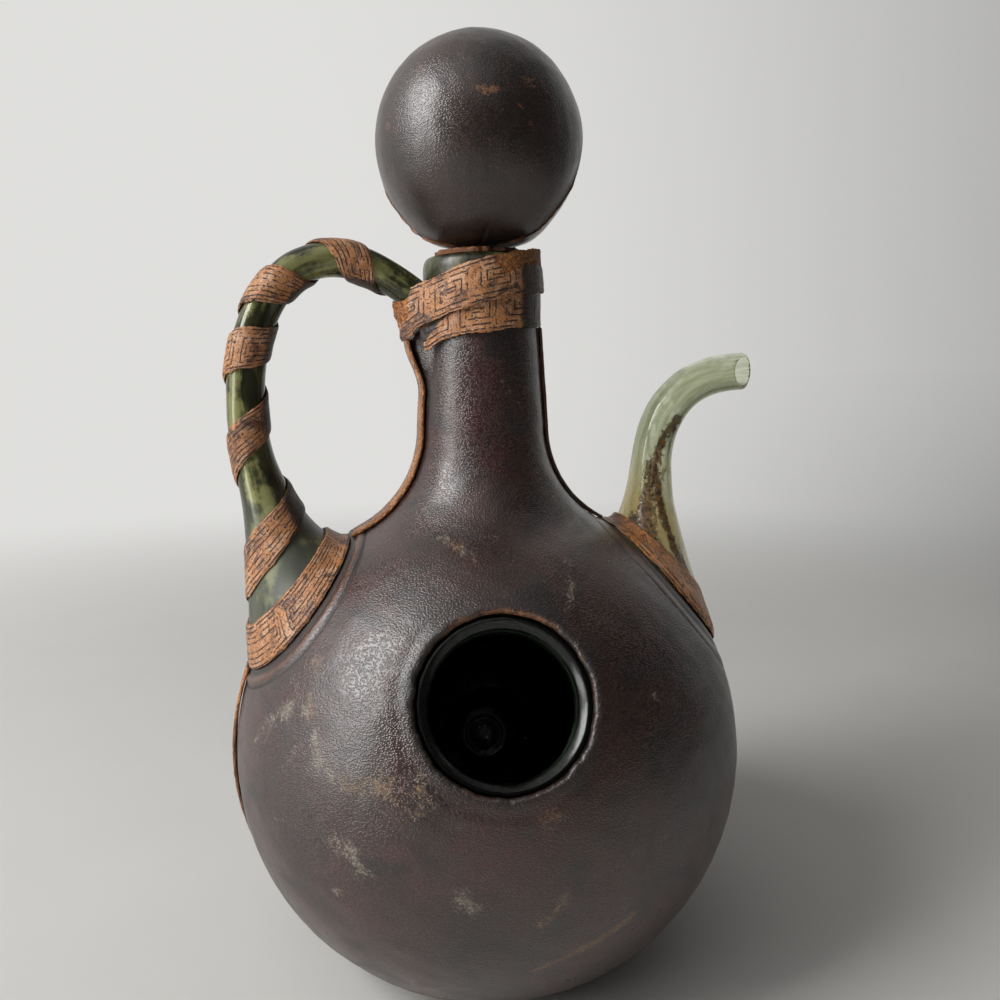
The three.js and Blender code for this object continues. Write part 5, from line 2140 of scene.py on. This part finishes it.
@dataclass
class BallStopper:
    """A turned wooden ball in two leather halves, with a washer and a cork on a dowel."""

    rim: float = BOTTLE.rim_height
    bore: float = BOTTLE.neck_top_radius - BOTTLE.glass_wall
    radius: float = 35.1
    leather: float = 1.6
    seam_gap: float = 0.4
    seam_turn: float = -20.0
    seam_tilt: float = 11.0
    skirt: float = 2.6
    skirt_from: float = 52.0
    skirt_full: float = 24.0
    fringe: float = 1.0
    slit_at: float = -1.6
    slit_width: float = 0.45
    slit_depth: float = 0.9
    washer_radius: float = 15.0
    washer_thickness: float = 1.2
    cork_proud: float = 0.6
    cork_insert: float = 31.0
    cork_taper: float = 1.4
    cork_rounding: float = 1.1
    dowel_radius: float = 4.0
    dowel_depth: float = 16.0
    rings: int = 170
    streaks: tuple[Rub, ...] = (
        Rub((-14, 8), (3, 7), 1.3, ochre=1.9),
        Rub((6, 4), (15, 1), 0.9, ochre=1.8),
        Rub((15, 1), (16, -4), 1.2, ochre=2.2),
        Rub((14, 11), (26, 12), 1.8, ochre=1.0),
        Rub((24, 8), (30, 10), 1.2, ochre=1.4),
        Rub((-50, 16), (-44, 14), 2.6, pale=0.6, ochre=0.6),
        Rub((-62, 8), (-66, 2), 2.0, ochre=0.8),
        Rub((160, 9), (172, 6), 1.8, ochre=0.9),
        Rub((200, -6), (206, -12), 2.2, pale=0.7),
    )
    finish: DarkLeather = DarkLeather(
        "ball leather",
        brown=(0.026, 0.015, 0.013),
        red=(0.054, 0.023, 0.017),
        ochre=(0.42, 0.17, 0.055),
        relief=0.7,
        polish=0.28,
    )
    washer_finish: TooledLeather = TooledLeather("washer leather", Tooling.LONG_KEY)
    cork_finish: NaturalCork = NaturalCork("natural cork")
    wood_finish: TurnedWood = TurnedWood("turned wood")

    @property
    def washer_bottom(self) -> float:
        """Height of the washer's underside."""
        return self.rim + self.cork_proud + FIT_GAP

    @property
    def middle(self) -> Points:
        """Middle of the ball."""
        return np.array([0.0, 0.0, self.washer_bottom + self.washer_thickness + FIT_GAP + self.radius])

    @property
    def facing(self) -> Points:
        """Direction that the front half faces: the stopper stands a little turned in its neck."""
        return heading(self.seam_turn, self.seam_tilt)

    def build(self) -> None:
        """Builds and dresses the stopper's pieces."""
        hide = self.finish.material()
        slot, body = Slot.DARK_LEATHER, Body.STOPPER
        fit(self.half("ball_front", Half.FRONT), body, slot, hide, "stopper_leather_front")
        fit(self.half("ball_back", Half.BACK), body, slot, hide, "stopper_leather_back")
        washer = self.washer_finish.material()
        fit(self.washer(), body, Slot.TOOLED_LEATHER, washer, "stopper_leather_washer")
        fit(self.cork(), body, Slot.CORK, self.cork_finish.material(), "stopper_cork")
        wood = self.wood_finish.material()
        for node in ("stopper_ball_core", "stopper_dowel"):
            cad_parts[node].data.materials.clear()
            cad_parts[node].data.materials.append(wood)
            log.info("%s: solid kept, in turned wood", node)

    def cap(self, half: Half) -> Sheet:
        """An even net of quads over one half of the ball's seat.

        Args:
            half: Front or back.

        Returns:
            The sheet, with a hole for the dowel.
        """
        steps = np.linspace(-1.0, 1.0, self.rings)
        across, over = np.meshgrid(steps, steps, indexing="ij")
        wide = np.abs(across) > np.abs(over)
        share = np.where(wide, across, over)
        with np.errstate(divide="ignore", invalid="ignore"):
            slant = np.nan_to_num(np.where(wide, over / across, across / over)) * math.pi / 4.0
        angle = np.where(wide, slant, math.pi / 2.0 - slant)
        spin = np.where(share < 0.0, angle + math.pi, angle)[..., None]
        polar = (np.abs(share) * (math.pi / 2.0 - math.asin(self.seam_gap / 2.0 / self.radius)))[..., None]
        ahead = -half.ahead * self.facing
        right = unit(np.cross(ahead, UP))
        above = np.cross(right, ahead)
        round_edge = np.cos(spin) * right + np.sin(spin) * above
        normals = np.sin(polar) * round_edge + np.cos(polar) * ahead
        sheet = Sheet.grid(self.middle + (self.radius - self.leather) * normals, normals)
        off_dowel = np.hypot(sheet.points[:, 0], sheet.points[:, 1]) - self.dowel_radius - FIT_GAP
        return sheet.clipped(np.where(sheet.points[:, 2] < self.middle[2], off_dowel, FAR))

    def half(self, name: str, half: Half) -> Piece:
        """One leather half, with a raw edge along the seam and a skirt gathered under the ball.

        Args:
            name: Name of the piece.
            half: Front or back.

        Returns:
            The piece.
        """
        sheet = self.cap(half)
        rim = np.abs((sheet.points - self.middle) @ self.facing)
        low = smooth(self.middle[2] - sheet.points[:, 2], 4.0, 18.0)
        ragged = np.clip(0.55 + 0.6 * ripple(sheet.points, 5.0, 53), 0.0, 1.0)
        slit = self.slit(sheet.points) if half is Half.FRONT else np.zeros(len(rim))
        sheet.values = {
            "wear": bell(rim, 0.0, 0.6) * low * ragged,
            # Painted shade: dark in the dart cut and along the seam on the upper part of the ball.
            "shade": np.maximum(slit, 0.7 * bell(rim, 0.4, 0.5) * (1.0 - low)),
            "edge": low * ragged,
            **rubbed(self.streaks, sheet.points, self.placed),
        }
        lumps = 0.12 * ripple(sheet.points, 22.0, 51) + 0.05 * ripple(sheet.points, 7.0, 52)
        lip = 0.25 * bell(rim, 0.9, 0.8) - 0.35 * bell(rim, 0.0, 0.5)
        if half is Half.BACK:
            lip = self.fringe * bell(rim, 0.0, 1.2) * low * (0.7 + 0.5 * ragged)
        rounded = rounded_off(rim, 0.9, 0.6)
        lumps = lumps * smooth(rim, 0.0, 3.0)
        outer = sheet.raised(self.leather * rounded + lumps + lip - self.slit_depth * slit)
        return sheet.solid(name, self.gathered(outer), self.gathered(sheet.points))

    def gathered(self, points: Points) -> Points:
        """Points with the bottom of the ball drawn out into a flat skirt.

        Args:
            points: Places on the leather.

        Returns:
            The moved places.
        """
        from_middle = points - self.middle
        level = np.hypot(from_middle[:, 0], from_middle[:, 1])
        polar = np.degrees(np.arctan2(level, -from_middle[:, 2]))
        out = smooth(polar, self.skirt_from, self.skirt_full) * smooth(polar, 7.0, self.skirt_full)
        moved = points + from_middle * (self.skirt * out / np.maximum(level, 1e-6))[:, None] * (1.0, 1.0, 0.0)
        moved[:, 2] = np.maximum(moved[:, 2], self.middle[2] - self.radius)
        return moved

    def placed(self, turn: float, rise: float) -> Points:
        """Place on the ball, at degrees from the front and a height above its middle."""
        return self.middle + heading(turn) * math.sqrt(self.radius**2 - rise**2) + UP * rise

    def slit(self, points: Points) -> Array:
        """Depth of the short dart cut near the bottom of the front half.

        Args:
            points: Places on the leather.

        Returns:
            A value of 1 in the cut, 0 away from it.
        """
        low = self.middle[2] - self.radius
        up_cut = smooth(points[:, 2], low + 0.6, low + 1.6) * smooth(points[:, 2], low + 6.6, low + 5.2)
        return bell(points[:, 0], self.slit_at, self.slit_width) * up_cut * (points[:, 1] < 0.0)

    def washer(self) -> Piece:
        """The leather disc under the ball, with a ragged rim that is raw on the handle's side.

        Returns:
            The piece.
        """
        angles = np.linspace(0.0, 2.0 * math.pi, 160, endpoint=False)
        spokes = np.stack([np.cos(angles), np.sin(angles), np.zeros_like(angles)], axis=-1)
        rim = spokes * self.washer_radius
        ragged = 0.7 * ripple(rim, 8.0, 61) + 0.35 * ripple(rim, 2.4, 62)
        reach = np.linspace(self.dowel_radius + FIT_GAP, self.washer_radius, 24)[:, None]
        reach = reach + ragged * smooth(reach, self.washer_radius * 0.6, self.washer_radius)
        points = spokes[None] * reach[..., None] + UP * self.washer_bottom
        sheet = Sheet.grid(points, np.broadcast_to(UP, points.shape).copy(), wraps=True)
        away = np.hypot(sheet.points[:, 0], sheet.points[:, 1])
        spout_side = smooth(sheet.points[:, 0], -3.0, 3.0)
        sheet.values = {
            "key_across": np.full_like(away, 30.0),
            # Darker all over and darkest on the spout's side.
            "shade_and_dirt": 0.55 + 0.45 * spout_side,
            "torn": 0.6 * (1.0 - spout_side),
        }
        edge = smooth(away, self.washer_radius - 2.5, self.washer_radius)
        droop = 0.45 * edge * (1.0 - 0.5 * spout_side)
        thick = self.washer_thickness - 0.35 * edge * (0.5 + 0.5 * ripple(sheet.points, 3.0, 63))
        return sheet.solid("ball_washer", sheet.raised(thick), sheet.raised(-droop))

    def cork(self) -> Piece:
        """The tapered cork, with a hole for the dowel and rounded ends.

        Returns:
            The piece.
        """
        wide = self.bore - FIT_GAP
        narrow = wide - self.cork_taper
        low, high = self.rim - self.cork_insert, self.rim + self.cork_proud
        soft, crisp = self.cork_rounding, self.cork_rounding / 2.0
        turn = np.linspace(0.0, math.pi / 2.0, 6)
        foot = [(narrow - soft + soft * math.sin(a), low + soft - soft * math.cos(a)) for a in turn]
        top = [(wide - crisp + crisp * math.cos(a), high - crisp + crisp * math.sin(a)) for a in turn]
        steps = [k / 8.0 for k in range(1, 8)]
        rise = high - crisp - low - soft
        side = [(narrow + (wide - narrow) * share, low + soft + rise * share) for share in steps]
        hole, deep = self.dowel_radius + FIT_GAP, high - self.dowel_depth - FIT_GAP
        return turned("ball_cork", [(0.0, low), *foot, *side, *top, (hole, high), (hole, deep), (0.0, deep)])


@dataclass
class Studio:
    """Plain pale floor, soft light and a camera at the viewing angle."""

    bright_side: Colour = (0.74, 0.735, 0.72)
    dim_side: Colour = (0.065, 0.065, 0.063)
    bright_way: tuple[float, float, float] = (-0.6, 0.8, 0.0)
    floor_colour: Colour = (0.80, 0.79, 0.76)
    ambient: float = 0.36
    floor_drop: float = 0.2
    floor_reach: float = 14.0
    focal_pixels: float = 850.0
    image_pixels: float = 1000.0
    axis_pixel: float = 483.5
    distance: float = 305.0
    eye_height: float = 211.7
    yaw: float = 12.0
    pitch: float = 8.9
    roll: float = 0.8

    def build(self) -> None:
        """Builds the floor, the lights, the world and the camera."""
        scene = bpy.context.scene
        scene.view_settings.view_transform = "Standard"
        self.floor()
        self.world()
        self.lamp("window", (-0.79, -0.16, 0.60), 1.35, (0.55, 0.75), 13.4)
        self.lamp("door", (-0.95, -0.28, 0.06), 1.35, (0.4, 0.6), 4.2)
        self.lamp("ceiling", (-0.30, -0.42, 0.86), 1.20, (1.0, 0.8), 1.2)
        self.lamp("fill", (0.80, 0.62, 0.35), 1.30, (1.6, 1.6), 1.6)
        scene.camera = self.camera()
        log.info("studio: floor, world, four lamps and camera")

    def seen(self, nodes: Nodes) -> Socket:
        """A value of 1 for rays that show the background, seen straight on, mirrored or through glass.

        Args:
            nodes: Node tree to build in.

        Returns:
            The value's socket.
        """
        path = nodes.add("ShaderNodeLightPath", {}).outputs
        shown = path["Is Camera Ray"], path["Is Glossy Ray"], path["Is Transmission Ray"]
        return nodes.total("MAXIMUM", *shown)

    def surround(self, nodes: Nodes, way: Socket) -> Socket:
        """Colour of the surround, pale on the window's side and dimmer across from it.

        Args:
            nodes: Node tree to build in.
            way: Socket of the direction that is looked at.

        Returns:
            The colour's socket.
        """
        level = nodes.add("ShaderNodeVectorMath", {0: way}, operation="NORMALIZE").outputs["Vector"]
        toward = nodes.add("ShaderNodeVectorMath", {0: level, 1: self.bright_way}, operation="DOT_PRODUCT")
        return nodes.mix(nodes.rise(toward.outputs["Value"], -0.6, 0.8), self.dim_side, self.bright_side)

    def floor(self) -> None:
        """A wide pale floor that fades into the backdrop's colour far from the object."""
        corners = np.array([(-1, -1, 0), (1, -1, 0), (1, 1, 0), (-1, 1, 0)]) * self.floor_reach / MM
        thing = piece_of("floor", corners - UP * self.floor_drop, [(0, 1, 2, 3)])
        s = Shader("pale floor")
        mottle = s.noise(60.0, 4.0)
        s.set(Base_Color=s.mix(s.rise(mottle, 0.3, 0.7, 0.25), self.floor_colour, self.bright_side))
        s.set(Roughness=0.7, Specular_IOR_Level=0.0)
        away = s.add("ShaderNodeVectorMath", {0: s.place}, operation="LENGTH").outputs["Value"]
        glow = s.add("ShaderNodeEmission", {"Color": self.surround(s, s.place)})
        far = s.times(s.rise(away, 0.25, 1.1), self.seen(s))
        s.end("Material Output", far, s.surface.outputs[0], glow.outputs[0])
        thing.data.materials.append(s.material)

    def world(self) -> None:
        """An even pale surround, shown at its own colour and lighting the object more softly."""
        world = bpy.data.worlds.new("surround")
        bpy.context.scene.world = world
        world.use_nodes = True
        nodes = Nodes(world.node_tree)
        colour = self.surround(nodes, nodes.add("ShaderNodeTexCoord", {}).outputs["Generated"])
        shown = nodes.tree.nodes["Background"]
        nodes.feed(shown.inputs["Color"], colour)
        lighting = nodes.add("ShaderNodeBackground", {"Color": colour, "Strength": self.ambient})
        nodes.end("World Output", self.seen(nodes), lighting.outputs[0], shown.outputs[0])

    def lamp(
        self, name: str, toward: Sequence[float], away: float, size: tuple[float, float], power: float
    ) -> None:
        """A soft rectangular lamp that faces the object.

        Args:
            name: Name of the lamp.
            toward: Direction from the object to the lamp.
            away: Distance from the object, in metres.
            size: Width and height, in metres.
            power: Power, in watts.
        """
        data = bpy.data.lights.new(name, "AREA")
        data.shape = "RECTANGLE"
        data.size, data.size_y = size
        data.energy = power
        thing = bpy.data.objects.new(name, data)
        direction = Vector(toward).normalized()
        thing.location = Vector((0.0, 0.0, BOTTLE.rim_height * MM / 2.0)) + direction * away
        thing.rotation_euler = direction.to_track_quat("Z", "Y").to_euler()
        bpy.context.scene.collection.objects.link(thing)

    def camera(self) -> Piece:
        """The camera, a little above the shoulder and to the left of the ice mouth.

        Returns:
            The camera, linked to the scene.
        """
        data = bpy.data.cameras.new("camera")
        data.sensor_width = 36.0
        data.lens = data.sensor_width * self.focal_pixels / self.image_pixels
        data.shift_x = 0.5 - self.axis_pixel / self.image_pixels
        data.clip_start = 0.01
        thing = bpy.data.objects.new("camera", data)
        yaw, pitch, roll = (math.radians(a) for a in (self.yaw, self.pitch, self.roll))
        level = np.array([math.sin(yaw), math.cos(yaw), 0.0])
        ahead = level * math.cos(pitch) - UP * math.sin(pitch)
        right = np.array([math.cos(yaw), -math.sin(yaw), 0.0])
        over = np.cross(right, ahead)
        rolled_right = right * math.cos(roll) - over * math.sin(roll)
        rolled_over = over * math.cos(roll) + right * math.sin(roll)
        place = (UP * self.eye_height - level * self.distance) * MM
        columns = [*map(Vector, (rolled_right, rolled_over, -ahead))]
        thing.matrix_world = Matrix.Translation(Vector(place)) @ Matrix(columns).transposed().to_4x4()
        bpy.context.scene.collection.objects.link(thing)
        return thing


def main() -> None:
    """Builds every sub-assembly."""
    logging.basicConfig(level=logging.INFO, format="%(name)s: %(message)s")
    Studio().build()
    for part in (Glassware(), LeatherCover(), TooledStrips(), BallStopper()):
        log.info("building %s", type(part).__name__)
        part.build()


if __name__ == "__main__":
    main()
